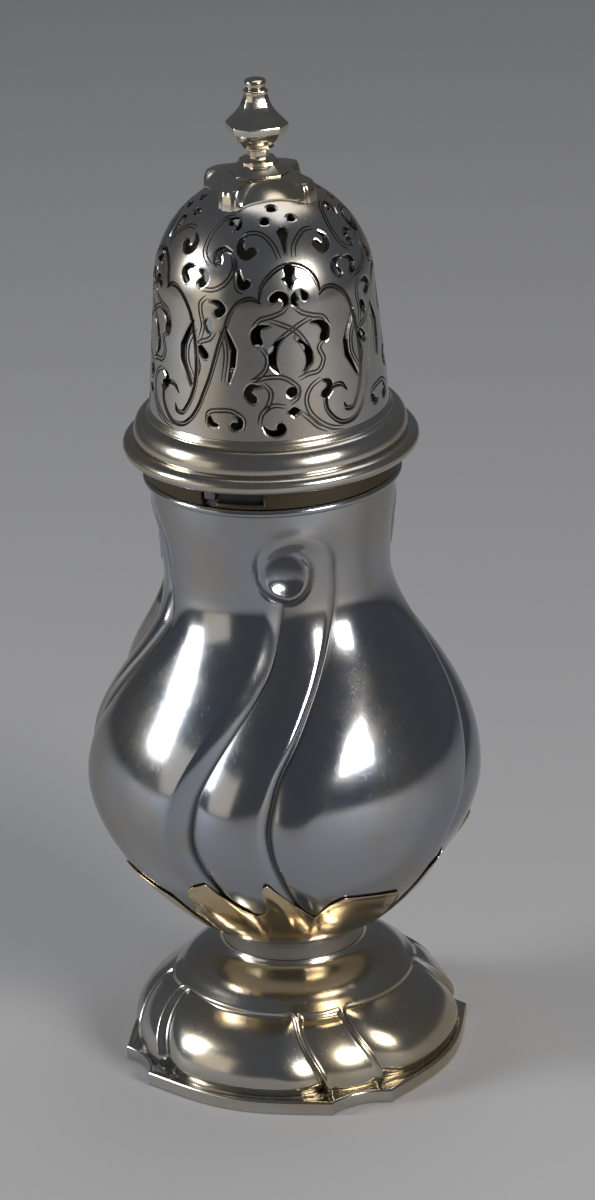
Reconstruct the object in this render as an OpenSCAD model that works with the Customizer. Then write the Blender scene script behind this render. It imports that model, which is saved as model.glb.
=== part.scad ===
// Sugar caster with a swirl-fluted baluster body, a lobed foot and a pierced domed cover.
// The cover has a bayonet joint: it lifts off where its slots stand over the lugs of the
// body, and a short turn locks it. Millimetres, +Z up, origin on the table under the axis.
// Angles run from the front (-Y) towards +X.

/* [Foot] */
// Radius to the eight points of the foot rim
foot_r = 34.8; // [31:0.1:44]
// How far the broad sides of the rim lie inside its points
rim_broad_dip = 1.8; // [0.5:0.1:3]
// How far the narrow sides of the rim lie inside its points
rim_narrow_dip = 2.3; // [0.5:0.1:3]
// Height of the rim band
rim_h = 2.9; // [1.5:0.1:6]
// Flat ledge between the broad sides of the rim and the foot dome
rim_ledge = 2; // [1:0.1:4]
// Step inside the rim that carries the wall of the foot dome
rim_seat = 1; // [0.5:0.1:3]
// Wall of the foot dome
foot_wall = 1; // [0.7:0.1:1.6]
// Height of the lobed part of the foot
foot_lobe_h = 14.7; // [10:0.1:22]
// Radius at the top edge of the lobes
lobe_top_r = 23.1; // [20:0.1:27]
// Relief of the foot lobes, from their frame to their crown
foot_relief = 1.5; // [0.4:0.1:1.8]
// Height of the plain spool above the lobes
spool_h = 6.4; // [4:0.1:12]
// Turn of the narrow panels from their foot to their top, in degrees
panel_turn = 10; // [0:1:20]
// Outer radius of the collar between foot and body
collar_r = 14; // [11:0.1:18]
// Height of the collar
collar_h = 3.7; // [2:0.1:8]
// Wall of the collar
collar_wall = 1.5; // [1:0.1:3]

/* [Body] */
// Height of the body from the collar to its mouth
body_h = 100.3; // [85:0.1:130]
// Radius of the belly at its widest
belly_r = 38.8; // [33:0.1:46]
// Height of the widest point above the collar
belly_h = 33; // [26:0.1:42]
// Radius of the neck at its narrowest
neck_r = 22; // [19:0.1:23]
// Height of the narrowest point above the collar
neck_h = 75.3; // [66:0.1:80]
// Outer radius of the straight mouth band
mouth_r = 23.4; // [21.5:0.1:28]
// Wall of the body
body_wall = 0.9; // [0.6:0.1:1.5]
// Depth of the creases between the lobes and the ribbons
crease = 2; // [0.6:0.1:2.4]

/* [Leaf calyx] */
// Height of the curled flame leaves
flame_h = 23.2; // [14:0.1:26]
// Height of the leaves at the right of the flames
leaf_h = 18; // [14:0.1:26]
// Height of the leaves at the left of the flames
tip_h = 21.2; // [14:0.1:26]
// Height of the valleys between the leaves
valley_h = 12.8; // [6:0.1:13]
// Height of the calyx where two leaf tips part
part_h = 3.6; // [2:0.1:6]
// Thickness of the leaves
leaf_t = 0.9; // [0.6:0.1:2]
// Gap between the leaves and the body
leaf_gap = 0.5; // [0.4:0.05:0.8]

/* [Bayonet joint] */
// Height of the mouth wire above the foot of the mouth band
wire_up = 0.6; // [0.2:0.1:2]
// Height of the mouth wire
wire_h = 1.7; // [1:0.1:3]
// How far the mouth wire stands out from the mouth band
wire_out = 1.5; // [1:0.1:2.5]
// Gap between the mouth wire and the skirt above it
rest_gap = 0.1; // [0.05:0.05:0.3]
// Height of the lip of the skirt below the slot track
lip_h = 0.9; // [0.6:0.1:2]
// Height of a lug
lug_h = 2.1; // [1:0.1:3]
// Width of a lug
lug_w = 2.4; // [1.5:0.1:4]
// Clearance of a lug in its slot
lug_gap = 0.25; // [0.15:0.05:0.5]
// Mouth band left above the lugs
rim_above_lug = 1.35; // [0.8:0.05:4]
// Clearance between the mouth band and the skirt
skirt_gap = 0.25; // [0.15:0.05:0.5]
// Wall of the skirt
skirt_wall = 0.9; // [0.6:0.1:1.5]
// Place of the front lug, in degrees from the front
lug_angle = -30; // [-80:1:80]
// Turn from the entry of the slot to its closed end, in degrees
lock_turn = 22; // [10:1:40]

/* [Cover] */
// Clearance between the bezel and the inside of the mouth
bezel_gap = 0.5; // [0.3:0.05:1]
// Wall of the bezel
bezel_wall = 0.8; // [0.6:0.1:1.5]
// Clearance between the bezel and the dome
turn_gap = 0.15; // [0.1:0.05:0.3]
// Room between the mouth rim and the seat of the dome
rim_room = 3; // [1.5:0.1:6]
// Skirt left between the slot track and the bead
bead_above = 0.4; // [0.3:0.1:2]
// Height of the bead
bead_h = 3.2; // [1.6:0.1:5]
// How far the bead stands out from the skirt
bead_out = 3.85; // [2:0.05:6]
// Height of the moulding above the bead
mould_h = 4.7; // [3:0.1:9]
// How far the moulding stands out from the skirt
mould_out = 1.9; // [1:0.1:4]
// Height of the ring at the base of the dome
ring_h = 1.3; // [0.8:0.1:3]
// How far that ring stands out from the dome
ring_out = 0.7; // [0.4:0.1:2]
// Height of the dome side between that ring and the crown
dome_side_h = 23.6; // [18:0.1:34]
// How far the dome side draws in up to the crown
dome_taper = 1.95; // [0.5:0.05:4]
// Wall of the dome
dome_wall = 0.8; // [0.6:0.1:1.5]

/* [Finial] */
// Radius to the ears of the cap plate
cap_ear_r = 11.8; // [10:0.1:16]
// Radius at the scallops of the cap plate
cap_scallop_r = 9.3; // [7:0.1:10]
// Radius of the flat top at the scallops, where their slopes begin
cap_crest_r = 6.4; // [5.6:0.1:6.9]
// Thickness of the cap plate at its flat top
cap_t = 1; // [0.6:0.1:2]
// How much thicker the cap plate is at its ears
cap_swell = 2.1; // [0.5:0.1:3]
// Thickness of the cap plate at the edge of a scallop
cap_edge = 0.4; // [0.2:0.1:0.8]
// Radius to the corners of the finial base
base_r = 5.9; // [4:0.1:7]
// Height of the finial base
base_h = 2.5; // [1.4:0.1:4]
// Radius to the corners of the vase at its widest
vase_r = 6.1; // [4.5:0.1:8]
// Height of the vase
vase_h = 13.5; // [10:0.1:20]
// Radius of the button
button_r = 2.05; // [1.6:0.05:3]
// Height of the button
button_h = 2; // [1.2:0.1:3]
// Radius of the stud
stud_r = 1; // [0.8:0.05:1.3]
// Clearance of the stud in its holes
stud_gap = 0.1; // [0.05:0.05:0.3]
// Outer radius of the washer
washer_r = 3.5; // [2.8:0.1:5]
// Thickness of the washer
washer_t = 0.8; // [0.5:0.1:1.5]
// Radius to the corners of the nut
nut_r = 2.6; // [2:0.1:4]
// Height of the nut
nut_h = 1.8; // [1.2:0.1:3]
// End of the stud below the nut
stud_end = 0.8; // [0.4:0.1:2]

/* [Hidden] */
$fn = 96;

// The pattern repeats in quarters of a turn
quarters = 4;
quarter = 360 / quarters;
// Length by which a cutting tool passes a face
over = 1;

// Heights, stacked from the table up
foot_z = rim_h;
collar_z = foot_z + foot_lobe_h + spool_h;
body_z = collar_z + collar_h;
mouth_z = body_z + body_h;
band_h = wire_up + wire_h + rest_gap + lip_h + lug_gap + lug_h + rim_above_lug;
band_z = mouth_z - band_h;
wire_z = band_z + wire_up;
skirt_z = wire_z + wire_h + rest_gap;
track_z = skirt_z + lip_h;
track_h = lug_h + 2 * lug_gap;
seat_z = mouth_z + rim_room;
bead_z = track_z + track_h + bead_above;
mould_z = bead_z + bead_h;
ring_z = mould_z + mould_h;
side_z = ring_z + ring_h;
crown_z = side_z + dome_side_h;

// Radii of the cover, from the mouth outwards and inwards
skirt_in_r = mouth_r + skirt_gap;
skirt_out_r = skirt_in_r + skirt_wall;
lug_out_r = skirt_out_r - lug_gap;
bezel_r = mouth_r - body_wall - bezel_gap;
dome_r = bezel_r + turn_gap + dome_wall;
crown_r = dome_r - dome_taper;
crown_in_r = crown_r - dome_wall;
cap_z = crown_z + crown_r + cap_t;
vase_z = cap_z + base_h;
button_z = vase_z + vase_h;
// The washer bears on the inside of the crown with its edge
washer_z = crown_z + sqrt(pow(crown_in_r, 2) - pow(washer_r, 2)) - washer_t - stud_gap;
nut_z = washer_z - nut_h;
stud_z = nut_z - stud_end;

// Place in the round: angle from the front, radius and height
function spot(a, r, z) = [r * sin(a), -r * cos(a), z];
// Point on a cubic curve with two handles
function curve(p, t) = pow(1 - t, 3) * p[0] + 3 * pow(1 - t, 2) * t * p[1]
    + 3 * (1 - t) * t * t * p[2] + pow(t, 3) * p[3];
function curve_points(p, steps) = [for (i = [0 : steps - 1]) curve(p, i / steps)];
function ease(t) = (1 - cos(180 * t)) / 2;
function unit(v) = v / norm(v);
function ends(i, n) = [max(i - 1, 0), min(i + 1, n - 1)];
function along(p, i) = let (e = ends(i, len(p))) unit(p[e[1]] - p[e[0]]);
// Profile moved towards the axis by a wall, square to the outline
function inset_profile(p, wall) =
    [for (i = [0 : len(p) - 1]) let (d = along(p, i)) p[i] + wall * [-d[1], d[0]]];

// Closed skin through rings of points, the outside from bottom to top, then the inside down again
module skin(rings, capped) {
    n = len(rings[0]);
    m = len(rings);
    last = capped ? m - 2 : m - 1;
    sides = [for (i = [0 : last], j = [0 : n - 1])
        let (k = (j + 1) % n, b = i * n, t = ((i + 1) % m) * n)
        each [[b + j, t + j, t + k], [b + j, t + k, b + k]]];
    bottom = [[for (j = [0 : n - 1]) j]];
    top = [[for (j = [0 : n - 1]) m * n - 1 - j]];
    polyhedron([for (r = rings) each r], capped ? concat(sides, bottom, top) : sides);
}

// Foot: narrow panels between broad lobes
panel_angle = 20.5;
panel_half = 10.4;
panel_steps = 4;
foot_base_r = foot_r - rim_broad_dip - rim_ledge;
// Section across a lobe: share of its width, and relief as a share of foot_relief
foot_lobe = [[0, 0], [0.04, -1], [0.14, -0.4], [0.3, 0.2], [0.5, 0.4],
             [0.7, 0.2], [0.86, -0.4], [0.96, -1]];
foot_swell = [2.5, 5];
foot_shoulder = [4.7, 3.2];
spool_foot = [3.1, 4.8];
spool_neck = [0.5, 2.6];
foot_profile = let (top = foot_z + foot_lobe_h) concat(
    curve_points([[foot_base_r, foot_z], [foot_base_r + foot_swell[0], foot_z + foot_swell[1]],
                  [lobe_top_r + foot_shoulder[0], top - foot_shoulder[1]], [lobe_top_r, top]], 9),
    curve_points([[lobe_top_r, top], [lobe_top_r - spool_foot[0], top + spool_foot[1]],
                  [collar_r + spool_neck[0], collar_z - spool_neck[1]], [collar_r, collar_z]], 6),
    [[collar_r, collar_z]]);
function lobe_share(z) = min(1, max(0, (z - foot_z) / foot_lobe_h));
function foot_ring(p, at) =
    let (s = lobe_share(at), a = panel_angle - panel_half - panel_turn * ease(s),
         k = foot_relief * pow(max(0, sin(180 * s)), 0.5), w = quarter - 2 * panel_half)
    [for (q = [0 : quarters - 1]) each concat(
        [for (i = [0 : panel_steps - 1])
            spot(a + q * quarter + 2 * panel_half * i / panel_steps, p[0], p[1])],
        [for (f = foot_lobe)
            spot(a + q * quarter + 2 * panel_half + w * f[0], p[0] + k * f[1], p[1])])];

// Body: narrow swirled ribbons between broad lobes
belly_low = [8, 3.1];
belly_full = [12.7, 19];
neck_draw = 12;
body_profile = concat(
    curve_points([[collar_r, body_z], [collar_r + belly_low[0], body_z + belly_low[1]],
                  [belly_r, body_z + belly_h - belly_full[0]], [belly_r, body_z + belly_h]], 10),
    curve_points([[belly_r, body_z + belly_h], [belly_r, body_z + belly_h + belly_full[1]],
                  [neck_r, body_z + neck_h - neck_draw], [neck_r, body_z + neck_h]], 14),
    [for (t = [0 : 0.2 : 0.8])
        [neck_r + (mouth_r - neck_r) * ease(t), body_z + neck_h + (band_z - body_z - neck_h) * t]],
    [[mouth_r, band_z], [mouth_r, mouth_z]]);
function body_r(z) = lookup(z, [for (p = body_profile) [p[1], p[0]]]);
// Middle of the front ribbon and half its width, in degrees, by share of the belly or neck height
ribbon_middle = [[0, 4], [0.25, -3.6], [0.55, -12.4], [0.72, -16.2], [1, -19], [1.2, -16.3],
                 [1.53, -3], [1.75, 8], [2, 16.4]];
ribbon_half = [[0, 15], [0.25, 13], [0.55, 12.6], [0.72, 12.4], [1, 12.2], [1.53, 11.3], [1.75, 12.4],
               [2, 13.9]];
// Between leaves and neck the right-hand ribbon stands further round than its quarter
ribbon_shift = [0, 12, 0, 0];
shift_share = [[0.72, 0], [1.15, 1], [1.8, 1], [2.3, 0]];
function ribbon_turn(q, s) = q * quarter + ribbon_shift[q % quarters] * lookup(s, shift_share);
// Depth of the creases over the height, as a share of crease
crease_depth = [[0, 0], [0.25, 0.35], [0.46, 0.75], [0.7, 1], [1.45, 1], [1.74, 0.85], [2, 0.6],
                [2.15, 0.5], [2.35, 0]];
// Sections across a lobe and a ribbon: share of its width, and relief as a share of crease
body_lobe = [[0, -1], [0.05, -0.46], [0.1, -0.13], [0.17, 0], [0.5, 0], [0.83, 0], [0.92, -0.31],
             [0.97, -0.85]];
body_ribbon = [[0, -1.3], [0.15, -0.8], [0.33, -0.4], [0.55, -0.2], [0.82, -0.2], [0.93, -0.5]];
function body_share(z) = let (h = z - body_z)
    h < belly_h ? h / belly_h : 1 + (h - belly_h) / (neck_h - belly_h);
function body_ring(p, at) =
    let (s = body_share(at), c = lookup(s, ribbon_middle), h = lookup(s, ribbon_half),
         k = crease * lookup(s, crease_depth))
    [for (q = [0 : quarters - 1]) let (t = ribbon_turn(q, s), w = ribbon_turn(q + 1, s) - t - 2 * h)
        each concat(
            [for (f = body_ribbon) spot(c - h + t + 2 * h * f[0], p[0] + k * f[1], p[1])],
            [for (f = body_lobe) spot(c + h + t + w * f[0], p[0] + k * f[1], p[1])])];
// Relief of the body under the leaves, at any angle and height
function body_relief(a, z) =
    let (s = body_share(z), h = lookup(s, ribbon_half), w = quarter - 2 * h,
         from = a - lookup(s, ribbon_middle) + h, d = from - quarter * floor(from / quarter),
         here = d < 2 * h ? body_ribbon : body_lobe, next = d < 2 * h ? body_lobe : body_ribbon,
         u = d < 2 * h ? d / (2 * h) : (d - 2 * h) / w)
    crease * lookup(s, crease_depth) * lookup(u, concat(here, [[1, next[0][1]]]));
function reversed(v) = [for (i = [len(v) - 1 : -1 : 0]) v[i]];

// Upper edge of the leaf calyx over one quarter: angle and height
function between(low, high, t) = low + (high - low) * t;
leaf_edge = [[-13.5, valley_h], [-11.2, between(valley_h, flame_h, 0.4)],
             [-9.2, between(valley_h, flame_h, 0.85)], [-7, flame_h],
             [-3, between(valley_h, flame_h, 0.7)], [3, between(valley_h, flame_h, 0.25)],
             [8.6, valley_h], [12.8, between(valley_h, leaf_h, 0.7)], [17.6, leaf_h],
             [30, between(valley_h, leaf_h, 0.8)], [41.8, between(valley_h, leaf_h, 0.4)],
             [45.2, between(part_h, valley_h, 0.65)], [48.4, part_h],
             [51.2, between(part_h, valley_h, 0.5)], [53.4, between(valley_h, tip_h, 0.65)],
             [60.8, tip_h], [64, between(valley_h, tip_h, 0.65)], [70, between(valley_h, tip_h, 0.3)]];
leaf_levels = [for (i = [0 : 7]) i / 7];
function calyx_ring(level, off) =
    [for (q = [0 : quarters - 1], e = leaf_edge) let (z = body_z + level * e[1])
        spot(e[0] + q * quarter, body_r(z) + body_relief(e[0], z) + off, z)];

// Outline of the foot rim
rim_narrow = [0, 0.2, 0.4, 0.6, 0.8];
rim_broad = [0, 0.06, 0.14, 0.26, 0.42, 0.58, 0.74, 0.86, 0.94];
function dip(u, depth, power) = depth * (1 - pow(abs(2 * u - 1), power));
function flat(a, r) = [r * sin(a), -r * cos(a)];
rim_outline = [for (q = [0 : quarters - 1]) each concat(
    [for (u = rim_narrow)
        flat(panel_angle + panel_half * (2 * u - 1) + q * quarter, foot_r - dip(u, rim_narrow_dip, 2))],
    [for (u = rim_broad)
        flat(panel_angle + panel_half + (quarter - 2 * panel_half) * u + q * quarter,
             foot_r - dip(u, rim_broad_dip, 4))])];

module foot_rim() {
    color("gainsboro")
        difference() {
            linear_extrude(rim_h) polygon(rim_outline);
            translate([0, 0, -over])
                cylinder(h = rim_h + 2 * over, r = foot_base_r - foot_wall - rim_seat);
        }
}

module foot_dome() {
    inner = inset_profile(foot_profile, foot_wall);
    n = len(foot_profile);
    // The lower edge of the wall is cut level with the rim
    low = [foot_base_r - foot_wall, foot_z];
    color("silver")
        skin(concat([for (p = foot_profile) foot_ring(p, p[1])],
                    [for (i = [n - 1 : -1 : 1])
                        foot_ring([inner[i][0], min(inner[i][1], collar_z)], foot_profile[i][1])],
                    [foot_ring(low, foot_z)]), false);
}

module foot_collar() {
    color("silver")
        translate([0, 0, collar_z])
            difference() {
                cylinder(h = collar_h, r = collar_r);
                translate([0, 0, -over])
                    cylinder(h = collar_h + 2 * over, r = collar_r - collar_wall);
            }
}

module leaf_calyx() {
    color("palegoldenrod")
        skin(concat([for (v = leaf_levels) calyx_ring(v, leaf_gap + leaf_t)],
                    [for (v = reversed(leaf_levels)) calyx_ring(v, leaf_gap)]), false);
}

module body_shell() {
    inner = inset_profile(body_profile, body_wall);
    n = len(body_profile);
    color("silver")
        skin(concat([for (p = body_profile) body_ring(p, p[1])],
                    [for (i = [n - 1 : -1 : 0]) body_ring(inner[i], body_profile[i][1])]), true);
}

// Ring of a round-fronted section: flat top, bottom and back, half an oval in front
module round_ring(z, h, r, out) {
    lip = out / 2;
    rotate_extrude()
        polygon(concat([[r, z], [r, z + h]],
                       [for (a = [90 : -22.5 : -90])
                           [r + lip + (out - lip) * cos(a), z + h / 2 + h / 2 * sin(a)]]));
}

module mouth_wire() {
    color("gainsboro") round_ring(wire_z, wire_h, mouth_r, wire_out);
}

module bayonet_lug(a) {
    color("gainsboro")
        intersection() {
            rotate([0, 0, a])
                translate([-lug_w / 2, -lug_out_r - over, track_z + lug_gap])
                    cube([lug_w, lug_out_r + over, lug_h]);
            difference() {
                cylinder(h = mouth_z, r = lug_out_r);
                translate([0, 0, -over]) cylinder(h = mouth_z + 2 * over, r = mouth_r);
            }
        }
}

module bayonet_lug_left() {
    bayonet_lug(lug_angle);
}

module bayonet_lug_right() {
    bayonet_lug(lug_angle + 180);
}

module cover_bezel() {
    color("silver")
        translate([0, 0, band_z])
            difference() {
                cylinder(h = ring_z - band_z, r = bezel_r);
                translate([0, 0, -over])
                    cylinder(h = ring_z - band_z + 2 * over, r = bezel_r - bezel_wall);
            }
}

// Slot of the bayonet joint: an open entry and a level track to the right of it
module lug_slot() {
    width = lug_w + 2 * lug_gap;
    reach = skirt_out_r + 2 * over;
    end = lock_turn + asin(width / 2 / skirt_in_r);
    translate([-width / 2, -reach, skirt_z - over])
        cube([width, reach, lip_h + track_h + over]);
    translate([0, 0, track_z])
        linear_extrude(track_h)
            polygon([[0, 0], flat(0, reach), flat(end / 2, reach), flat(end, reach)]);
}

module bayonet_skirt() {
    color("silver")
        difference() {
            translate([0, 0, skirt_z]) cylinder(h = seat_z - skirt_z, r = skirt_out_r);
            translate([0, 0, skirt_z - over])
                cylinder(h = seat_z - skirt_z + 2 * over, r = skirt_in_r);
            for (a = [0, 180]) rotate([0, 0, lug_angle + a]) lug_slot();
        }
}

module cover_bead() {
    color("gainsboro") round_ring(bead_z, bead_h, skirt_out_r, bead_out);
}

// Half round below, hollow above, seated on the skirt and round the dome
module cover_moulding() {
    swell = 0.65 * mould_h;
    foot_out = skirt_out_r + mould_out;
    top_out = dome_r + ring_out;
    waist = skirt_out_r;
    color("silver")
        rotate_extrude()
            polygon(concat([[dome_r, ring_z], [dome_r, seat_z],
                            [skirt_out_r, seat_z], [skirt_out_r, mould_z]],
                           [for (a = [0 : 18 : 90])
                               [waist + (foot_out - waist) * cos(a), mould_z + swell * sin(a)]],
                           [for (a = [22.5 : 22.5 : 90])
                               [waist + (top_out - waist) * sin(a),
                                mould_z + swell + (mould_h - swell) * (1 - cos(a))]]));
}

module dome_ring() {
    color("gainsboro") round_ring(ring_z, ring_h, dome_r, ring_out);
}

// Closed dome without its piercings, with a given cut all round
module dome_form(cut) {
    r = crown_r - cut;
    rotate_extrude()
        polygon(concat([[0, seat_z], [dome_r - cut, seat_z], [dome_r - cut, side_z]],
                       [for (a = [0 : 10 : 80]) [r * cos(a), crown_z + r * sin(a)]],
                       [[0, crown_z + r]]));
}

// Place on the dome: angle from the middle of the front panel, and height as a share of the side,
// or for shares over 1 the part of a quarter turn up the crown
panel_front = 12;
module on_dome(a, v) {
    reach = 3 * dome_wall;
    side = min(v, 1);
    tilt = quarter * max(v - 1, 0);
    r = dome_r - dome_taper * side;
    for (q = [0 : quarters - 1])
        rotate([0, 0, panel_front + a + q * quarter])
            translate([0, 0, side_z + dome_side_h * side])
                rotate([-tilt, 0, 0])
                    translate([0, reach - r, 0])
                        rotate([90, 0, 0])
                            linear_extrude(2 * reach)
                                children();
}

// Comma with a round head at its foot and a tail that curls to the right by an angle
function comma_side(head, tail, curl, side) = let (q = tail / (curl * PI / 180))
    [for (t = [0, 0.35, 0.7, 1]) let (w = head * (1 - 0.85 * t) * side)
        [q - (q - w) * cos(curl * t), (q - w) * sin(curl * t)]];
module comma(head, tail, curl, turn, hand) {
    mirror([hand < 0 ? 1 : 0, 0])
        rotate(-turn)
            polygon(concat(comma_side(head, tail, curl, -1), reversed(comma_side(head, tail, curl, 1)),
                           [for (a = [-45 : -45 : -135]) head * [cos(a), sin(a)]]));
}

// Crescent round the middle of the panel
module crescent(r, w, hand) {
    polygon(concat([for (a = [-50 : 25 : 50]) [hand * (r * cos(a)), 1.35 * r * sin(a)]],
                   [for (a = [50 : -25 : -50]) [hand * ((r - w) * cos(a)), 1.35 * r * sin(a)]]));
}

// Drop: round head, straight sides to a point, downwards
module drop(head, tail) {
    polygon(concat([for (a = [-15 : 35 : 195]) head * [cos(a), sin(a)]], [[0, -tail]]));
}

module slot_window(hand) {
    outline = [[-0.2, -4.6], [0.5, -4.6], [1.5, 0.2], [0.1, 5], [-0.6, 5], [0.5, 0]];
    polygon([for (p = outline) [hand * p[0], p[1]]]);
}

// Openings of one panel: head, tail, curl, turn and hand, each at its angle and height
panel_commas = [
    [-18.5, 1.38, 0.75, 3.4, 150, 20, 1], [24.5, 1.39, 0.75, 3.2, 150, 20, -1],
    [-34, 1.55, 0.75, 3, 140, 60, 1], [-38, 1.34, 0.8, 3.4, 150, 110, -1],
    [-59, 1.21, 0.8, 3.2, 150, 10, 1], [-49, 1.22, 0.8, 3.2, 150, 10, -1],
    [-7, 1.12, 0.8, 3, 160, 40, 1], [7.5, 1.12, 0.8, 3, 160, 40, -1],
    [-36, 1.06, 0.75, 2.8, 150, 30, 1], [-18, 0.86, 0.8, 3.2, 120, 10, 1],
    [17.5, 0.85, 0.8, 3.2, 120, 10, -1], [-21, 0.38, 0.8, 3.2, 150, 0, 1],
    [17.5, 0.37, 0.75, 2.8, 140, 30, -1], [-6.5, 0.1, 0.8, 3, 120, 80, -1],
    [-40.7, 0.12, 0.6, 2, 100, 30, 1], [-28, 0.12, 0.75, 2.6, 120, 10, -1]];
panel_dots = [[-5.4, 1.66, 0.75], [-9.6, 1.57, 0.75], [12.4, 1.57, 0.75], [-42.5, 0.91, 0.75],
              [-45, 0.68, 0.8], [-1.2, 0.4, 0.95]];

module piercings() {
    for (c = panel_commas) on_dome(c[0], c[1]) comma(c[2], c[3], c[4], c[5], c[6]);
    for (d = panel_dots) on_dome(d[0], d[1]) circle(r = d[2]);
    for (hand = [-1, 1]) on_dome(0, 0.68) crescent(4, 0.95, hand);
    on_dome(2.5, 1.48) drop(0.9, 4);
    on_dome(-22.6, 1.2) mirror([0, 1]) drop(0.85, 3);
    on_dome(1.8, 1.2) drop(1, 2.2);
    on_dome(-0.3, 0.24) circle(r = 0.9, $fn = 4);
    on_dome(-29.6, 0.74) slot_window(1);
    on_dome(32.3, 0.74) slot_window(-1);
}

module pierced_dome() {
    color("silver")
        difference() {
            dome_form(0);
            translate([0, 0, -over]) cylinder(h = side_z, r = dome_r - dome_wall);
            dome_form(dome_wall);
            translate([0, 0, crown_z]) cylinder(h = 2 * crown_r, r = stud_r + stud_gap);
            piercings();
        }
}

// Four thick ears on the crown, with round scoops between them
cap_lift = 0.05;
scoop_far = 1.27 * cap_ear_r;
scoop_top = scoop_far - cap_crest_r;
scoop_low = scoop_far - cap_scallop_r;
scallop_z = crown_z + sqrt(pow(crown_r, 2) - pow(cap_scallop_r, 2)) + cap_edge;
scoop_z = (cap_z + scallop_z) / 2 + (pow(scoop_top, 2) - pow(scoop_low, 2)) / (2 * (cap_z - scallop_z));
scoop_r = norm([scoop_top, scoop_z - cap_z]);
module cap_plate() {
    ear = -45;
    color("gainsboro")
        difference() {
            intersection() {
                translate([0, 0, crown_z]) sphere(r = crown_r + cap_t + cap_swell);
                translate([0, 0, crown_z])
                    linear_extrude(crown_r + cap_t)
                        polygon([for (a = [0 : 6 : 354])
                            flat(panel_front + ear + a, cap_scallop_r + (cap_ear_r - cap_scallop_r)
                                 * pow((1 + cos(quarters * a)) / 2, 1.5))]);
            }
            translate([0, 0, crown_z]) sphere(r = crown_r + cap_lift);
            translate([0, 0, crown_z]) cylinder(h = 2 * crown_r, r = stud_r + stud_gap);
            for (q = [0 : quarters - 1])
                translate(spot(panel_front + q * quarter, scoop_far, scoop_z)) sphere(r = scoop_r);
        }
}

// Eight-sided outline with wide and narrow sides
wide_side = 57;
finial_front = 15;
function facet(r) = [for (q = [0 : quarters - 1], s = [-1, 1])
    flat(finial_front + s * wide_side / 2 + q * quarter, r)];

// Eight-sided turning through levels: share of its height, and radius as a share of r
module faceted_turning(levels, r, z, h) {
    skin([for (v = levels) [for (p = facet(r * v[1])) [p[0], p[1], z + h * v[0]]]], true);
}

base_levels = [[0, 1], [0.12, 1], [0.7, 0.68], [1, 0.64]];
module finial_base() {
    color("silver")
        difference() {
            faceted_turning(base_levels, base_r, cap_z, base_h);
            translate([0, 0, cap_z - over]) cylinder(h = base_h + 2 * over, r = stud_r + stud_gap);
        }
}

vase_levels = [[0, 0.42], [0.03, 0.34], [0.14, 0.34], [0.163, 0.52], [0.185, 0.53], [0.2, 0.46],
               [0.252, 0.62], [0.326, 0.82], [0.422, 0.95], [0.508, 1], [0.53, 0.98], [0.593, 0.84],
               [0.652, 0.7], [0.77, 0.5], [0.935, 0.38], [0.95, 0.4], [0.985, 0.4], [1, 0.34]];
module finial_vase() {
    color("silver") faceted_turning(vase_levels, vase_r, vase_z, vase_h);
}

module finial_button() {
    color("gainsboro")
        rotate_extrude()
            polygon(concat([[0, button_z], [0.75 * button_r, button_z]],
                           [for (a = [-45 : 22.5 : 90])
                               [button_r * cos(a), button_z + button_h * (0.5 + 0.5 * sin(a))]]));
}

module finial_stud() {
    color("darkgray") translate([0, 0, stud_z]) cylinder(h = vase_z - stud_z, r = stud_r);
}

module finial_washer() {
    color("darkgray")
        translate([0, 0, washer_z])
            difference() {
                cylinder(h = washer_t, r = washer_r);
                translate([0, 0, -over]) cylinder(h = washer_t + 2 * over, r = stud_r + stud_gap);
            }
}

module finial_nut() {
    color("darkgray")
        translate([0, 0, nut_z])
            difference() {
                cylinder(h = nut_h, r = nut_r, $fn = 6);
                translate([0, 0, -over]) cylinder(h = nut_h + 2 * over, r = stud_r + stud_gap);
            }
}

foot_rim();
foot_dome();
foot_collar();
leaf_calyx();
body_shell();
mouth_wire();
bayonet_lug_left();
bayonet_lug_right();
cover_bezel();
bayonet_skirt();
cover_bead();
cover_moulding();
dome_ring();
pierced_dome();
cap_plate();
finial_base();
finial_vase();
finial_button();
finial_stud();
finial_washer();
finial_nut();
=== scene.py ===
# Silver sugar caster: swirl-fluted body, lobed foot, pierced cover with a bayonet joint.
# Shapes are worked out in millimetres and turned to metres when a piece is finished.
# Angles are degrees from the front, which faces -Y, towards +X.
import math

import bmesh
import bpy
import numpy as np
from mathutils import Matrix, Quaternion, Vector


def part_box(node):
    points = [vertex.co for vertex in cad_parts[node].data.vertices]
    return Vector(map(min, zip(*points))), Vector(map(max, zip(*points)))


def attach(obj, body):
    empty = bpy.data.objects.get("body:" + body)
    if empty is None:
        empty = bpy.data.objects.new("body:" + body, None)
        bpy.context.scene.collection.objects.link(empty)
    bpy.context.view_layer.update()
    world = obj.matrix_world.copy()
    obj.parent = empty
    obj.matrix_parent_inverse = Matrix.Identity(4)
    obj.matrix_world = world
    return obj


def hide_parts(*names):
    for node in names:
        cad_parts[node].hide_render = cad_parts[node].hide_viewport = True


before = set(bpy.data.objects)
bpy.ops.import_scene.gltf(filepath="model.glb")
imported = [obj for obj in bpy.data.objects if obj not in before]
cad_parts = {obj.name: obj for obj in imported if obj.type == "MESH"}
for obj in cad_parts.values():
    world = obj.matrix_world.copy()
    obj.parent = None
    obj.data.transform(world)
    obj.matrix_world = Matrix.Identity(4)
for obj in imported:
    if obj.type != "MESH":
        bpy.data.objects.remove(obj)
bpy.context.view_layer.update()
mm = 0.001
quarter = 90.0  # the pattern repeats in quarters
panelFront = 12.0  # middle of the front panel of the cover
finialFront = 15.0  # middle of the front side of the finial


def lowOf(node):
    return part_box(node)[0].z / mm


def highOf(node):
    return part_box(node)[1].z / mm


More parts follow.
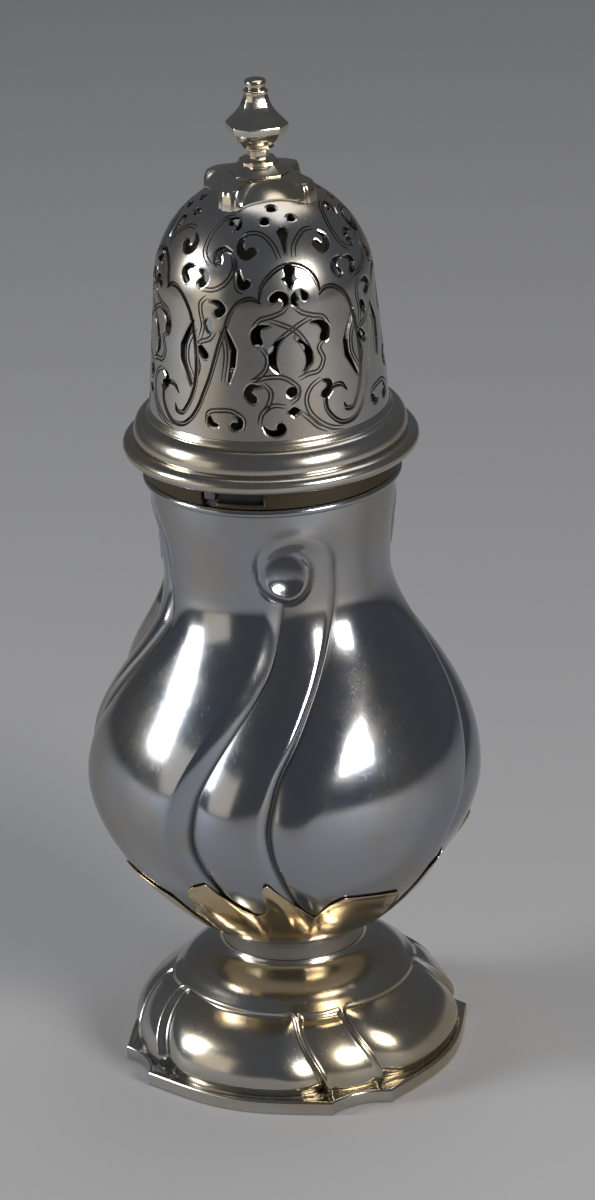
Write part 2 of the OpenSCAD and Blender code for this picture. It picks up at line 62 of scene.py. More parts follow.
def reachOf(node):
    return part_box(node)[1].x / mm


def sizeOf(node):
    return lowOf(node), highOf(node), reachOf(node)


# camera, floor and lamps

camera = {"place": (0, -0.9262, 0.4770), "target": (0.0037, 0, 0.0948), "roll": -2.5, "lens": 155.1,
          "sensor": 36}


def setCamera():
    data = bpy.data.cameras.new("photoCamera")
    data.lens = camera["lens"]
    data.sensor_width = camera["sensor"]
    eye = bpy.data.objects.new("photoCamera", data)
    eye.location = camera["place"]
    look = (Vector(camera["target"]) - Vector(camera["place"])).to_track_quat("-Z", "Y")
    eye.rotation_mode = "QUATERNION"
    eye.rotation_quaternion = look @ Quaternion((0, 0, 1), math.radians(camera["roll"]))
    bpy.context.scene.collection.objects.link(eye)
    bpy.context.scene.camera = eye


# each lamp: direction and height in degrees, distance, width and height in metres, watts, colour
lamps = {
    "rightBox": (42, 23, 0.85, 0.30, 0.22, 5.2, (1.0, 0.97, 0.93)),
    "leftBox": (-84, 21, 0.85, 0.19, 0.30, 4.0, (0.95, 0.97, 1.0)),
    "leftCard": (-62, 8, 0.80, 0.42, 0.36, 0.36, (1.0, 0.88, 0.70)),
    "topFill": (150, 70, 1.10, 0.70, 0.70, 2.6, (1.0, 0.98, 0.96)),
}
lampAim = (0, 0, 0.09)
roomTone = (0.085, 0.092, 0.105, 1)


def setLamps():
    aim = Vector(lampAim)
    for name, (turn, lift, far, wide, high, watts, colour) in lamps.items():
        data = bpy.data.lights.new(name, "AREA")
        data.shape = "RECTANGLE"
        data.size, data.size_y = wide, high
        data.energy, data.color = watts, colour
        lamp = bpy.data.objects.new(name, data)
        a, e = math.radians(turn), math.radians(lift)
        out = Vector((math.sin(a) * math.cos(e), -math.cos(a) * math.cos(e), math.sin(e)))
        lamp.location = aim + out * far
        lamp.rotation_euler = (-out).to_track_quat("-Z", "Y").to_euler()
        bpy.context.scene.collection.objects.link(lamp)
    world = bpy.data.worlds.new("studio")
    world.use_nodes = True
    world.node_tree.nodes["Background"].inputs["Color"].default_value = roomTone
    bpy.context.scene.world = world
    bpy.context.scene.view_settings.view_transform = "Standard"


# shader maths: a value that turns operators into Math nodes

class Value:
    def __init__(self, finish, socket):
        self.finish, self.socket = finish, socket

    def sum(self, operation, first, second):
        return self.finish.node("Math", {"operation": operation}, {0: first, 1: second})

    def __add__(self, other):
        return self.sum("ADD", self, other)

    def __radd__(self, other):
        return self.sum("ADD", other, self)

    def __sub__(self, other):
        return self.sum("SUBTRACT", self, other)

    def __rsub__(self, other):
        return self.sum("SUBTRACT", other, self)

    def __mul__(self, other):
        return self.sum("MULTIPLY", self, other)

    def __rmul__(self, other):
        return self.sum("MULTIPLY", other, self)


class Finish:
    def __init__(self, name):
        self.material = bpy.data.materials.new(name)
        self.material.use_nodes = True
        self.tree = self.material.node_tree
        self.tree.nodes.clear()

    def node(self, kind, settings=None, inputs=None, out=0):
        made = self.tree.nodes.new("ShaderNode" + kind)
        for key, setting in (settings or {}).items():
            setattr(made, key, setting)
        for key, given in (inputs or {}).items():
            if isinstance(given, Value):
                self.tree.links.new(given.socket, made.inputs[key])
            else:
                made.inputs[key].default_value = given
        return Value(self, made.outputs[out]) if len(made.outputs) else made

    def noise(self, place, scale, detail=3.0, rough=0.5):
        return self.node("TexNoise", None, {"Vector": place, "Scale": scale, "Detail": detail,
                                            "Roughness": rough}, "Fac")

    def band(self, given, low, high):
        return self.node("MapRange", {"interpolation_type": "SMOOTHSTEP"},
                         {0: given, 1: low, 2: high, 3: 0.0, 4: 1.0})

    def blend(self, amount, first, second):
        return self.node("Mix", {"data_type": "RGBA"}, {0: amount, 6: first, 7: second}, 2)


def rgb(red, green, blue):
    return (red, green, blue, 1.0)


# each finish: clean and warm tone, kept dark both as tarnish and as a painted dark reflection; dark colour
# and its strength in hollows, for tarnish and painted shade; roughness and its spread, haze, scratches;
# weight of the marked tarnish and painted shade
finishes = {
    "foot_silver": dict(
        clean=rgb(0.52, 0.51, 0.48), warm=rgb(0.50, 0.43, 0.31), stain=rgb(0.07, 0.055, 0.035),
        hollow=0.9, rough=0.14, spread=0.14, haze=0.5, lines=0.05, markedShadeAndTarnish=0.97),
    # the leaves' golden tone is partly their colour and partly a painted warm reflection
    "leaf_silver": dict(
        clean=rgb(0.68, 0.57, 0.40), warm=rgb(0.60, 0.44, 0.23), stain=rgb(0.12, 0.07, 0.03),
        hollow=0.25, rough=0.12, spread=0.10, haze=0.4, lines=0.03),
    # the body's dark bluish tone is tarnish and also a painted dark reflection
    "body_silver": dict(
        clean=rgb(0.37, 0.40, 0.45), warm=rgb(0.38, 0.36, 0.33), stain=rgb(0.05, 0.05, 0.055),
        hollow=0.9, rough=0.11, spread=0.13, haze=0.5, lines=0.07, markedShadeAndTarnish=0.97),
    "inner_silver": dict(
        clean=rgb(0.50, 0.50, 0.49), warm=rgb(0.44, 0.40, 0.34), stain=rgb(0.12, 0.10, 0.08),
        hollow=0.6, rough=0.30, spread=0.12, haze=0.6, lines=0.06),
    "cover_silver": dict(
        clean=rgb(0.53, 0.51, 0.47), warm=rgb(0.49, 0.43, 0.32), stain=rgb(0.07, 0.055, 0.035),
        hollow=0.9, rough=0.15, spread=0.14, haze=0.5, lines=0.05, markedShadeAndTarnish=0.97),
    "dome_silver": dict(
        clean=rgb(0.52, 0.52, 0.51), warm=rgb(0.49, 0.44, 0.37), stain=rgb(0.04, 0.036, 0.03),
        hollow=0.95, rough=0.17, spread=0.12, haze=0.5, lines=0.05, markedShadeAndTarnish=0.97),
    "finial_silver": dict(
        clean=rgb(0.62, 0.60, 0.55), warm=rgb(0.57, 0.49, 0.36), stain=rgb(0.08, 0.06, 0.035),
        hollow=0.8, rough=0.10, spread=0.10, haze=0.4, lines=0.03),
    "fastening": dict(
        clean=rgb(0.46, 0.46, 0.45), warm=rgb(0.40, 0.36, 0.30), stain=rgb(0.08, 0.07, 0.05),
        hollow=0.8, rough=0.32, spread=0.12, haze=0.6, lines=0.04),
}


# noise scales per metre, reach of the tarnish and painted shade in hollows, strength and depth of the dents
silverGrain = {"patches": 48, "speckle": 900, "cloud": 190, "dents": 75, "hollow": 0.0028,
               "bump": (0.22, 0.0006)}


def agedSilver(name):
    look = finishes[name]
    f = Finish(name)
    place = f.node("TexCoord", None, None, "Object")
    patches = f.band(f.noise(place, silverGrain["patches"], 4, 0.6), 0.36, 0.66)
    speckle = f.noise(place, silverGrain["speckle"], 5, 0.65)
    cloud = f.noise(place, silverGrain["cloud"], 5, 0.6)
    # hollows darken towards the dark colour: partly tarnish, partly painted shade where less light reaches
    hollow = 1 - f.node("AmbientOcclusion", {"only_local": True, "samples": 8},
                        {"Distance": silverGrain["hollow"]}, "AO")
    dark = f.band(hollow, 0.24, 0.80) * look["hollow"]
    if "markedShadeAndTarnish" in look:  # marked places get darker: tarnish in cut lines and creases, painted shade and painted dark reflections elsewhere
        markedDarkening = f.node("Attribute", {"attribute_name": "markedShadeAndTarnish"}, None, "Fac") * look["markedShadeAndTarnish"]
        dark = dark + markedDarkening - dark * markedDarkening
    spots = f.band(speckle * 0.6 + cloud * 0.4, 0.57, 0.72) * (0.30 * look["haze"])
    tone = f.blend(patches, look["clean"], look["warm"])
    colour = f.blend(dark + spots - dark * spots, tone, look["stain"])
    swirl = f.node("Mapping", None, {"Vector": place, "Rotation": (0.5, 0.35, 0.2),
                                     "Scale": (1700, 1700, 70)})
    cross = f.node("Mapping", None, {"Vector": place, "Rotation": (-0.6, 0.9, 1.1),
                                     "Scale": (1500, 90, 1500)})
    strokes = f.band(f.noise(swirl, 1, 3, 0.6), 0.55, 0.75) + f.band(f.noise(cross, 1, 3, 0.6), 0.58, 0.78)
    rough = look["rough"] + cloud * look["spread"] * 0.5 + patches * look["spread"] * 0.35
    rough = rough + strokes * (look["spread"] * 0.4) + dark * 0.30
    dents = f.noise(place, silverGrain["dents"], 2, 0.4)
    height = dents + cloud * 0.05 - strokes * look["lines"] * 0.2
    strength, deep = silverGrain["bump"]
    bump = f.node("Bump", None, {"Strength": strength, "Distance": deep, "Height": height}, "Normal")
    shader = f.node("BsdfPrincipled", None, {"Base Color": colour, "Metallic": 1.0, "Roughness": rough,
                                             "Normal": bump})
    f.node("OutputMaterial", None, {"Surface": shader})
    return f.material


floorLook = {"size": 6.0, "colour": rgb(0.43, 0.43, 0.44), "rough": 0.75}


def setFloor():
    bm = bmesh.new()
    bmesh.ops.create_grid(bm, x_segments=8, y_segments=8, size=floorLook["size"] / 2)
    mesh = bpy.data.meshes.new("floor")
    bm.to_mesh(mesh)
    bm.free()
    f = Finish("paleFloor")
    place = f.node("TexCoord", None, None, "Object")
    grain = f.noise(place, 500, 3)
    tone = f.blend(grain * 0.3, floorLook["colour"], rgb(0.50, 0.50, 0.50))
    shader = f.node("BsdfPrincipled", None, {"Base Color": tone, "Roughness": floorLook["rough"]})
    f.node("OutputMaterial", None, {"Surface": shader})
    mesh.materials.append(f.material)
    floor = bpy.data.objects.new("floor", mesh)
    bpy.context.scene.collection.objects.link(floor)


# mesh helpers

def ease(t):
    t = np.clip(t, 0.0, 1.0)
    return t * t * (3 - 2 * t)


def flowing(x, table):  # smooth curve through a few pairs
    xs, ys = np.array(table, float).T
    slope = np.gradient(ys, xs)
    i = np.clip(np.searchsorted(xs, x) - 1, 0, len(xs) - 2)
    h = xs[i + 1] - xs[i]
    t = np.clip((x - xs[i]) / h, 0, 1)
    s = 1 - t
    return ((1 + 2 * t) * s * s * ys[i] + t * s * s * h * slope[i]
            + t * t * (3 - 2 * t) * ys[i + 1] - t * t * s * h * slope[i + 1])


def bend(a, b, c, d, count):  # cubic curve with two handles, without its last point
    t = np.linspace(0, 1, count, endpoint=False)[:, None]
    a, b, c, d = (np.array(p, float) for p in (a, b, c, d))
    line = (1 - t) ** 3 * a + 3 * (1 - t) ** 2 * t * b + 3 * (1 - t) * t * t * c + t ** 3 * d
    return [tuple(p) for p in line]


def softened(points, radius, steps=4):  # closed outline with its corners rounded
    made = []
    for i, p in enumerate(points):
        p, before, after = (Vector(q) for q in (p, points[i - 1], points[(i + 1) % len(points)]))
        cutBack = min(radius, 0.45 * (before - p).length, 0.45 * (after - p).length)
        first, last = p + (before - p).normalized() * cutBack, p + (after - p).normalized() * cutBack
        made += [tuple(first * (1 - t) ** 2 + p * 2 * t * (1 - t) + last * t * t)
                 for t in (k / steps for k in range(steps + 1))]
    return made


def inset(points, wall):  # open outline moved towards the axis
    p = np.array(points, float)
    along = np.gradient(p, axis=0)
    along /= np.linalg.norm(along, axis=1)[:, None]
    return [tuple(q) for q in p + wall * np.stack([-along[:, 1], along[:, 0]], 1)]


def placed(bm, size, move, turn):  # scaled, moved, then turned
    bmesh.ops.scale(bm, vec=size, verts=bm.verts)
    bmesh.ops.translate(bm, vec=move, verts=bm.verts)
    bmesh.ops.rotate(bm, cent=(0, 0, 0), matrix=turn, verts=bm.verts)


def fourTimes(bm):  # one quarter and its three turned copies
    first = bm.verts[:] + bm.edges[:] + bm.faces[:]
    for k in (1, 2, 3):
        copy = bmesh.ops.duplicate(bm, geom=first)["geom"]
        bmesh.ops.rotate(bm, cent=(0, 0, 0), matrix=Matrix.Rotation(math.radians(quarter * k), 3, "Z"),
                         verts=[v for v in copy if isinstance(v, bmesh.types.BMVert)])
    return bm


def spun(profile, steps, closed=True):
    bm = bmesh.new()
    line = [bm.verts.new((0, -r, z)) for r, z in profile]
    edges = [bm.edges.new(pair) for pair in zip(line, line[1:] + line[:1] if closed else line[1:])]
    bmesh.ops.spin(bm, geom=line + edges, axis=(0, 0, 1), angle=math.radians(quarter), steps=steps // 4)
    fourTimes(bm)
    bmesh.ops.remove_doubles(bm, verts=bm.verts, dist=0.0005)
    bmesh.ops.recalc_face_normals(bm, faces=bm.faces)
    return bm


def mould(mesh, shape):  # moves every point of a spun mesh by angle, radius and height
    co = np.empty(len(mesh.vertices) * 3)
    mesh.vertices.foreach_get("co", co)
    x, y, z = co.reshape(-1, 3).T
    angle, radius, height = shape(np.degrees(np.arctan2(x, -y)), np.hypot(x, y), z)
    turn = np.radians(angle)
    moved = np.stack([radius * np.sin(turn), -radius * np.cos(turn), height], 1)
    mesh.vertices.foreach_set("co", moved.ravel())
    mesh.update()


def finished(node, bm, body, finish, shape=None, sharp=35):  # foot_rim becomes the piece footRim
    first, *others = node.split("_")
    name = first + "".join(word.capitalize() for word in others)
    mesh = bpy.data.meshes.new(name)
    bm.to_mesh(mesh)
    bm.free()
    if shape:
        mould(mesh, shape)
    mesh.transform(Matrix.Scale(mm, 4))
    mesh.shade_smooth()
    if sharp:
        mesh.set_sharp_from_angle(angle=math.radians(sharp))
    mesh.materials.append(silver[finish])
    piece = bpy.data.objects.new(name, mesh)
    bpy.context.scene.collection.objects.link(piece)
    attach(piece, body)
    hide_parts(node)
    print(name, len(mesh.polygons), "faces")
    return piece


# stores a darkening mark: tarnish in cut lines and creases, painted shade and painted dark reflection on
# other pieces
def shadeAndTarnish(mesh, amount, domain="FACE"):  # one value for all, or a list of them
    held = mesh.attributes.new("markedShadeAndTarnish", "FLOAT", domain)
    held.data.foreach_set("value", np.broadcast_to(np.array(amount, np.float32), len(held.data)).copy())


def columns(angle, left, right, share, gather):
    # gathers points at both sides of a strip: angle, start of the quarter, whether in the strip, place across
    turns = angle / quarter % 4
    start = np.floor(turns)
    t = turns - start
    inStrip = t < share
    u = np.where(inStrip, t / share, (t - share) / (1 - share))
    start, u = start * quarter, u - gather * np.sin(2 * np.pi * u) / (2 * np.pi)
    moved = start + np.where(inStrip, left + (right - left) * u, right + (quarter - right + left) * u)
    return moved, start, inStrip, u


# foot

# the last entry is how dark the collar is painted, as a dark reflection
foot = {"steps": 352, "columns": (0.34, 0.72), "panel": 20.5, "half": 10.4, "turn": 10.0, "wall": 1.0,
        "base": 31.0, "lobeTop": (23.1, 17.6), "collar": 14.0, "bore": 29.0, "reach": 34.8,
        "broadDip": 1.8, "narrowDip": 2.3, "crest": 0.55, "sunk": -1.25, "swell": 1.95, "run": 8.0,
        "collarPaintedDarkReflection": 0.6}


def panelSides(height):
    top = foot["lobeTop"][1]
    rise = np.clip((height - highOf("foot_rim")) / (top - highOf("foot_rim")), 0, 1)
    left = foot["panel"] - foot["half"] - foot["turn"] * (1 - np.cos(np.pi * rise)) / 2
    return left, left + 2 * foot["half"]


def footRim():
    top, r = highOf("foot_rim"), foot["reach"]
    outline = softened([(foot["bore"], 0), (r - 0.3, 0), (r, 0.35), (r, top - 0.35), (r - 0.3, top),
                        (r - 0.75, top), (r - 1.4, top - 0.25), (foot["base"] + 0.5, top - 0.25),
                        (foot["base"] - 0.2, top), (foot["bore"], top)], 0.3)

    def cusps(angle, radius, height):
        angle, _, inPanel, u = columns(angle, *panelSides(np.zeros_like(height)), *foot["columns"])
        edge = np.abs(2 * u - 1)
        dip = np.where(inPanel, foot["narrowDip"] * (1 - edge ** 2), foot["broadDip"] * (1 - edge ** 4))
        share = ease((radius - foot["base"] - 0.3) / (r - 1.9 - foot["base"] - 0.3))
        return angle, radius - dip * share, height

    finished("foot_rim", spun(outline, foot["steps"]), "caster_body", "foot_silver", cusps)


def footRelief(angle, radius, height):
    low, top = highOf("foot_rim"), foot["lobeTop"][1]
    left, right = panelSides(height)
    middle = (left + right) / 2
    off = (angle - middle + 45) % quarter - 45
    arc = np.radians(np.abs(np.abs(off) - foot["half"])) * radius  # from the nearer panel side
    fromTop = (top - height) * 1.3
    fromLow = (height - low) * 1.1
    inPanel = np.abs(off) < foot["half"]
    across = (np.where(off < 0, off + quarter, off) - foot["half"]) / (quarter - 2 * foot["half"])
    fading = ease((across - 0.08) / 0.45)  # the top line of a lobe fades to the right
    corner = foot["crest"] * (1 - 0.6 * fading)
    near = np.minimum(arc, fromTop)
    near = near - 0.5 * np.maximum(0, 1.8 - np.abs(arc - fromTop)) ** 2 / 3.6
    bulge = np.sin(np.pi / 2 * np.clip((near - 0.9) / foot["run"], 0, 1)) ** 0.9
    pillow = foot["sunk"] + foot["swell"] * bulge
    start = corner + (foot["crest"] - corner) * ease(1 - arc / 2.0)
    soft = 1.0 + 0.9 * fading * ease((arc - fromTop) / 2.5)
    lobe = start + (pillow - start) * ease(near / soft)
    lobe = lobe - 0.9 * (1 - ease(fromLow / 3.0))
    panel = 0.05 + 0.35 * (1 - (off / foot["half"]) ** 2)
    panel = panel - 0.6 * np.exp(-((fromTop - 1.7) / 0.8) ** 2) * ease(arc / 1.2)
    rim = np.maximum(np.exp(-(arc / 0.45) ** 2), np.exp(-(fromTop / 0.6) ** 2))
    panel = panel + (foot["crest"] - panel) * rim - 0.5 * (1 - ease(fromLow / 1.6)) * ease(arc / 0.8)
    above = np.where(inPanel, foot["crest"], start) * np.exp(-((height - top) / 0.6) ** 2)
    return np.where(height >= top, above, np.where(inPanel, panel, lobe))


def footDome():
    low, top = highOf("foot_rim"), foot["lobeTop"]
    high = lowOf("foot_collar")
    lobes = bend((foot["base"], low), (33.5, low + 5), (27.8, top[1] - 3.2), top, 84)
    spool = bend(top, (20.0, 22.4), (14.5, 21.4), (foot["collar"], high), 34) + [(foot["collar"], high)]
    outer = lobes + spool
    inner = [(r, min(z, high)) for r, z in inset(outer[::4] + outer[-1:], foot["wall"])]
    inner[0] = (foot["base"] - foot["wall"], low)

    def lobed(angle, radius, height):
        angle = columns(angle, *panelSides(height), *foot["columns"])[0]
        return angle, radius + footRelief(angle, radius, height), height

    finished("foot_dome", spun(outer + inner[::-1], foot["steps"]), "caster_body", "foot_silver", lobed, None)


def footCollar():
    low, high, r = sizeOf("foot_collar")
    outline = [(r - 1.5, high), (r - 1.5, low), (r - 0.03, low), (r - 0.12, low + 1.3),
               (r - 0.12, high - 1.0), (r, high - 0.4), (r - 0.1, high)]
    piece = finished("foot_collar", spun(softened(outline, 0.25), 160), "caster_body", "foot_silver")
    # the collar is painted darker, as a dark reflection
    shadeAndTarnish(piece.data, foot["collarPaintedDarkReflection"])


# body

body = {
    "steps": 400, "columns": (0.42, 0.55), "wall": 0.9, "crease": 2.0,
    "belly": (38.8, 60.7), "neck": (22.0, 103.0), "mouth": 23.4,
    "fluteLeft": [
        (27.7, -11), (38, -18), (46, -25.4), (52, -29.4), (57.5, -31.3), (63, -30.6), (68.4, -28.4),
        (73.2, -24.6), (79.7, -18.1), (85.7, -10.9), (90, -5.6), (95.2, -1.5), (101, 1.5), (105, 2.8),
        (109, 3)],
    "fluteRight": [
        (27.7, 15), (38, 5), (46, -1.7), (52, -5), (58, -7.1), (62, -7.6), (67, -6.3), (73, -3.3), (78.3, 2),
        (83.3, 7.2), (89, 14), (94.6, 20.8), (100, 26), (103, 27.6), (106, 28), (109, 27.6)],
    "depth": [
        (27.7, 0), (36, 0.35), (43, 0.75), (51, 1), (80, 1), (92, 0.8), (103, 0.32), (110, 0.4), (118, 0.4)],
    "ridge": 1.0, "ribbonRise": [(27.7, 6), (55, 11), (80, 12), (95, 8), (103, 5), (109, 4)],
    "ribbonRoll": [(27.7, 5), (48, 5), (58, 3.2), (68, 2.5), (109, 2.2)],
    "lobeRoll": [(27.7, 5), (60, 4.4), (80, 4.2), (95, 3.6), (103, 2.5), (109, 2.2)], "rollPower": 1.4,
    "lobeRise": [(27.7, 5), (50, 5), (62, 7), (80, 9), (100, 7), (109, 6)],
    "eye": (4.2, 109.4), "dish": 1.35, "dishPower": 2.6, "moat": -0.5, "moatPlace": 1.05, "moatWidth": 0.5,
    "crestRim": 0.85, "lowRim": 0.5, "fall": 1.3, "gentle": 0.25, "round": (1.0, 0.25),
    # strength and reach of the darkening in creases and dish, tarnish and painted shade; then the mouth
    # band's darkening, tarnish and painted shade under the skirt
    "stain": 0.85, "stainAndShadeDepth": 0.6, "stainAndShadeStep": 1.1, "bandShadeAndTarnish": 1.0,
    "shift": [
        [(60, 0), (110, 0)], [(51.5, 0), (67, 12), (94.5, 12), (115.7, 0)],
        [(60, 0), (110, 0)], [(95, 0), (104, -12), (116, -12)]],
    "coil": [(0, 9.06), (13, 8.9), (36, 8.3), (70, 6.8), (99, 5.9), (133, 4.95), (160, 4.1), (180, 3.6)],
    "rim": [
        (180, 3.6), (204, 3.75), (225, 4.1), (250, 4.7), (276, 5.15), (299, 4.95), (320, 4.5), (350, 3.95),
        (360, 3.85)],
}
bodyLow, bandLow = lowOf("body_shell"), lowOf("cover_bezel")
underside = bend((foot["collar"], bodyLow), (22, bodyLow + 3.1), (body["belly"][0], 48), body["belly"], 46)
shoulder = bend(body["belly"], (body["belly"][0], 79.7), (body["neck"][0], 91), body["neck"], 120)
throat = [(body["neck"][0] + (body["mouth"] - body["neck"][0]) * (1 - math.cos(math.pi * t)) / 2,
           body["neck"][1] + (bandLow - body["neck"][1]) * t) for t in np.linspace(0, 1, 40)]
bodyLine = underside + shoulder + throat


def bodyRadius(height):
    r, z = np.array(bodyLine).T
    return np.interp(height, z, r)


def fluteSides(height):  # the two valleys beside a ribbon
    arc = np.radians(1) * bodyRadius(height)
    return flowing(height, body["fluteLeft"]), flowing(height, body["fluteRight"]) + body["ridge"] / arc, arc


def rolled(distance, reach, power=2):  # one at the valley, nothing beyond its reach
    return np.maximum(0, 1 - distance / reach) ** power


def ribbonDepth(a, height):  # ribbon between two valleys, lobes rolling down to it at both sides
    left, right, arc = fluteSides(height)
    ahead, behind = fluteSides(height + 0.5), fluteSides(height - 0.5)
    leanLeft, leanRight = (arc / np.hypot(1, arc * (ahead[k] - behind[k])) for k in (0, 1))
    fromLeft, fromRight = (a - left) * leanLeft, (right - a) * leanRight
    rolls = [flowing(height, body[k]) for k in ("ribbonRise", "ribbonRoll", "lobeRoll", "lobeRise")]
    ribbon = 0.2 + 1.1 * rolled(fromLeft, rolls[0]) + 0.8 * rolled(fromRight, rolls[1])
    toNext = np.where(a < (left + right) / 2, -fromLeft, (left + quarter - a) * leanLeft)
    beyond = np.where(a > (left + right) / 2, -fromRight, (a - right + quarter) * leanRight)
    field = 1.3 * rolled(toNext, rolls[2], body["rollPower"]) + rolled(beyond, rolls[3])
    inside = (fromLeft >= 0) & (fromRight >= 0)
    return body["crease"] * flowing(height, body["depth"]) * np.where(inside, ribbon, field)


def bodyRelief(angle, height):
    left, right, arc = fluteSides(height)
    middle = (left + right) / 2
    a = (angle - middle + 45) % quarter - 45 + middle
    lower = -ribbonDepth(a, height)
    # volute: the ridge winds inwards round a dish
    eyeAngle, eyeHeight = body["eye"]
    x, y = (a - eyeAngle) * arc, height - eyeHeight
    rho, phi = np.hypot(x, y), np.degrees(np.arctan2(y, x)) % 360
    ridge, rim = flowing(phi, body["coil"]), flowing(phi, body["rim"])
    bowl, (crestRound, footRound) = body["dish"], body["round"]

    def dished(r, edge, rest, raised, fall=body["fall"], moat=body["moat"]):
        # a dish with a round rim that falls outside to a moat and what lies there
        inside = -bowl + (bowl + raised) * (r / edge) ** body["dishPower"]
        outside = raised - fall * (r - edge)
        lip = (inside + outside - np.hypot(inside - outside, crestRound)) / 2
        beyond = rest + moat * np.exp(-((r - edge - body["moatPlace"]) / body["moatWidth"]) ** 2)
        filled = (lip + beyond + np.hypot(lip - beyond, footRound)) / 2
        return lip + (filled - lip) * ease((r - edge) / 0.5)

    sinking = body["crestRim"] - (body["crestRim"] - body["lowRim"]) * ease((phi - 270) / 90)
    lower = dished(rho, rim, lower, sinking)
    # upper half: from the ribbon at the right to the closed dish at the left
    inner, outer = body["rim"][-1][1], body["coil"][0][1]
    drawn = inner + (rho - inner) * (outer - inner) / np.maximum(ridge - inner, 1)
    stretched = np.where(rho > inner, drawn, rho)
    level = np.full_like(height, eyeHeight)
    entering = dished(stretched, inner, -ribbonDepth(eyeAngle + stretched / arc, level), body["lowRim"])
    turned = ease((phi - 100) / 70)
    steep = body["gentle"] + (body["fall"] - body["gentle"]) * turned
    closed = dished(rho, ridge, 0.0, body["crestRim"], steep, body["moat"] * turned)
    share = ease(phi / 75)
    upper = entering * (1 - share) + closed * share
    return np.where(y > 0, upper * (1 - ease((y - 9) / 3)), lower)


def bodyShell():
    high, wall = highOf("body_shell"), body["wall"]
    levels = np.concatenate([np.linspace(body["belly"][1], 97, 52, endpoint=False),
                             np.linspace(97, 117.5, 60, endpoint=False), np.linspace(117.5, bandLow, 7)])
    outer = underside + list(zip(bodyRadius(levels), levels))
    mouth = body["mouth"]
    lip = [(mouth, high - 0.35), (mouth - 0.1, high - 0.1), (mouth - 0.35, high), (mouth - wall + 0.3, high),
           (mouth - wall + 0.05, high - 0.12), (mouth - wall, high - 0.4)]
    coarse = underside[::4] + shoulder[::6] + throat[::6] + throat[-1:]
    inner = [(r, max(z, bodyLow + wall)) for r, z in inset(coarse, wall)]
    profile = [(0, bodyLow)] + outer + [(mouth, high - 3.5)] + lip + inner[::-1] + [(0, bodyLow + wall)]
    band, stainedAndShaded = highOf("mouth_wire"), []

    def fluted(angle, radius, height):
        left, right, arc = fluteSides(height)
        angle, start, inFlute, u = columns(angle, left, right, *body["columns"])
        # between leaves and neck the ribbons stand off their quarters
        shifts = [flowing(height, table) for table in body["shift"]]
        q = np.rint(start / quarter).astype(int) % 4
        here, after = np.choose(q, shifts), np.choose((q + 1) % 4, shifts)
        shift = here + (after - here) * np.where(inFlute, 0, u)
        relief = bodyRelief(angle, height)
        # creases are marked darker by how far the surface lies below its neighbours: tarnish and painted
        # shade
        reach = body["stainAndShadeStep"]
        step = reach / arc
        across = (bodyRelief(angle - step, height) + bodyRelief(angle + step, height)) / 2
        upright = (bodyRelief(angle, height - reach) + bodyRelief(angle, height + reach)) / 2
        rho = np.hypot(((angle - body["eye"][0] + 45) % quarter - 45) * arc, height - body["eye"][1])
        creased = ease((np.maximum(across, upright) - relief) / body["stainAndShadeDepth"]) * ease((rho - 4.1) / 0.6)
        # the volute's dish is marked darker, most towards its top: painted shade
        dish = (1 - ease((rho - 2.9) / 1.3)) * (0.2 + 0.8 * ease((height - body["eye"][1] + 2) / 3))
        creased = np.maximum(creased, dish) * body["stain"]
        # above the mouth wire the band is marked fully dark: tarnish of the hidden band and painted shade
        # under the skirt
        stainedAndShaded.append(np.where(height > band, body["bandShadeAndTarnish"], creased))
        return angle + shift, radius + relief * ease(radius / 5), height

    shell = spun(profile, body["steps"], False)
    piece = finished("body_shell", shell, "caster_body", "body_silver", fluted, None)
    shadeAndTarnish(piece.data, stainedAndShaded[0], "POINT")


# edge: angle and height of the leaf tops above the collar, over one quarter
leaves = {
    "steps": 480, "thick": 0.36, "lift": 0.03, "lean": 3.0, "lap": 0.14, "nose": 0.4, "fold": 0.12,
    "begin": -13.5, "split": 9,
    "edge": [
        (-13.5, 13.4), (-11.6, 13.9), (-9.6, 14.6), (-8.3, 15.8), (-7.2, 18.0), (-6.4, 20.8), (-5.9, 22.4),
        (-5.0, 23.2), (-3.6, 22.7), (-1.6, 20.6), (1.3, 16.8), (5, 14.2), (8.6, 12.4), (10.2, 14.6),
        (12.8, 16.6), (17.6, 18.0), (27, 17.0), (36, 15.8), (41.8, 14.9), (43.6, 12.8), (45.2, 9.6),
        (46.8, 5.6), (48.4, 3.6), (50, 4.4), (51.2, 8), (52.4, 14), (53.4, 18.2), (56, 20.2), (60.8, 21.2),
        (63.6, 18.6), (70, 15.4), (76.5, 13.4)],
}


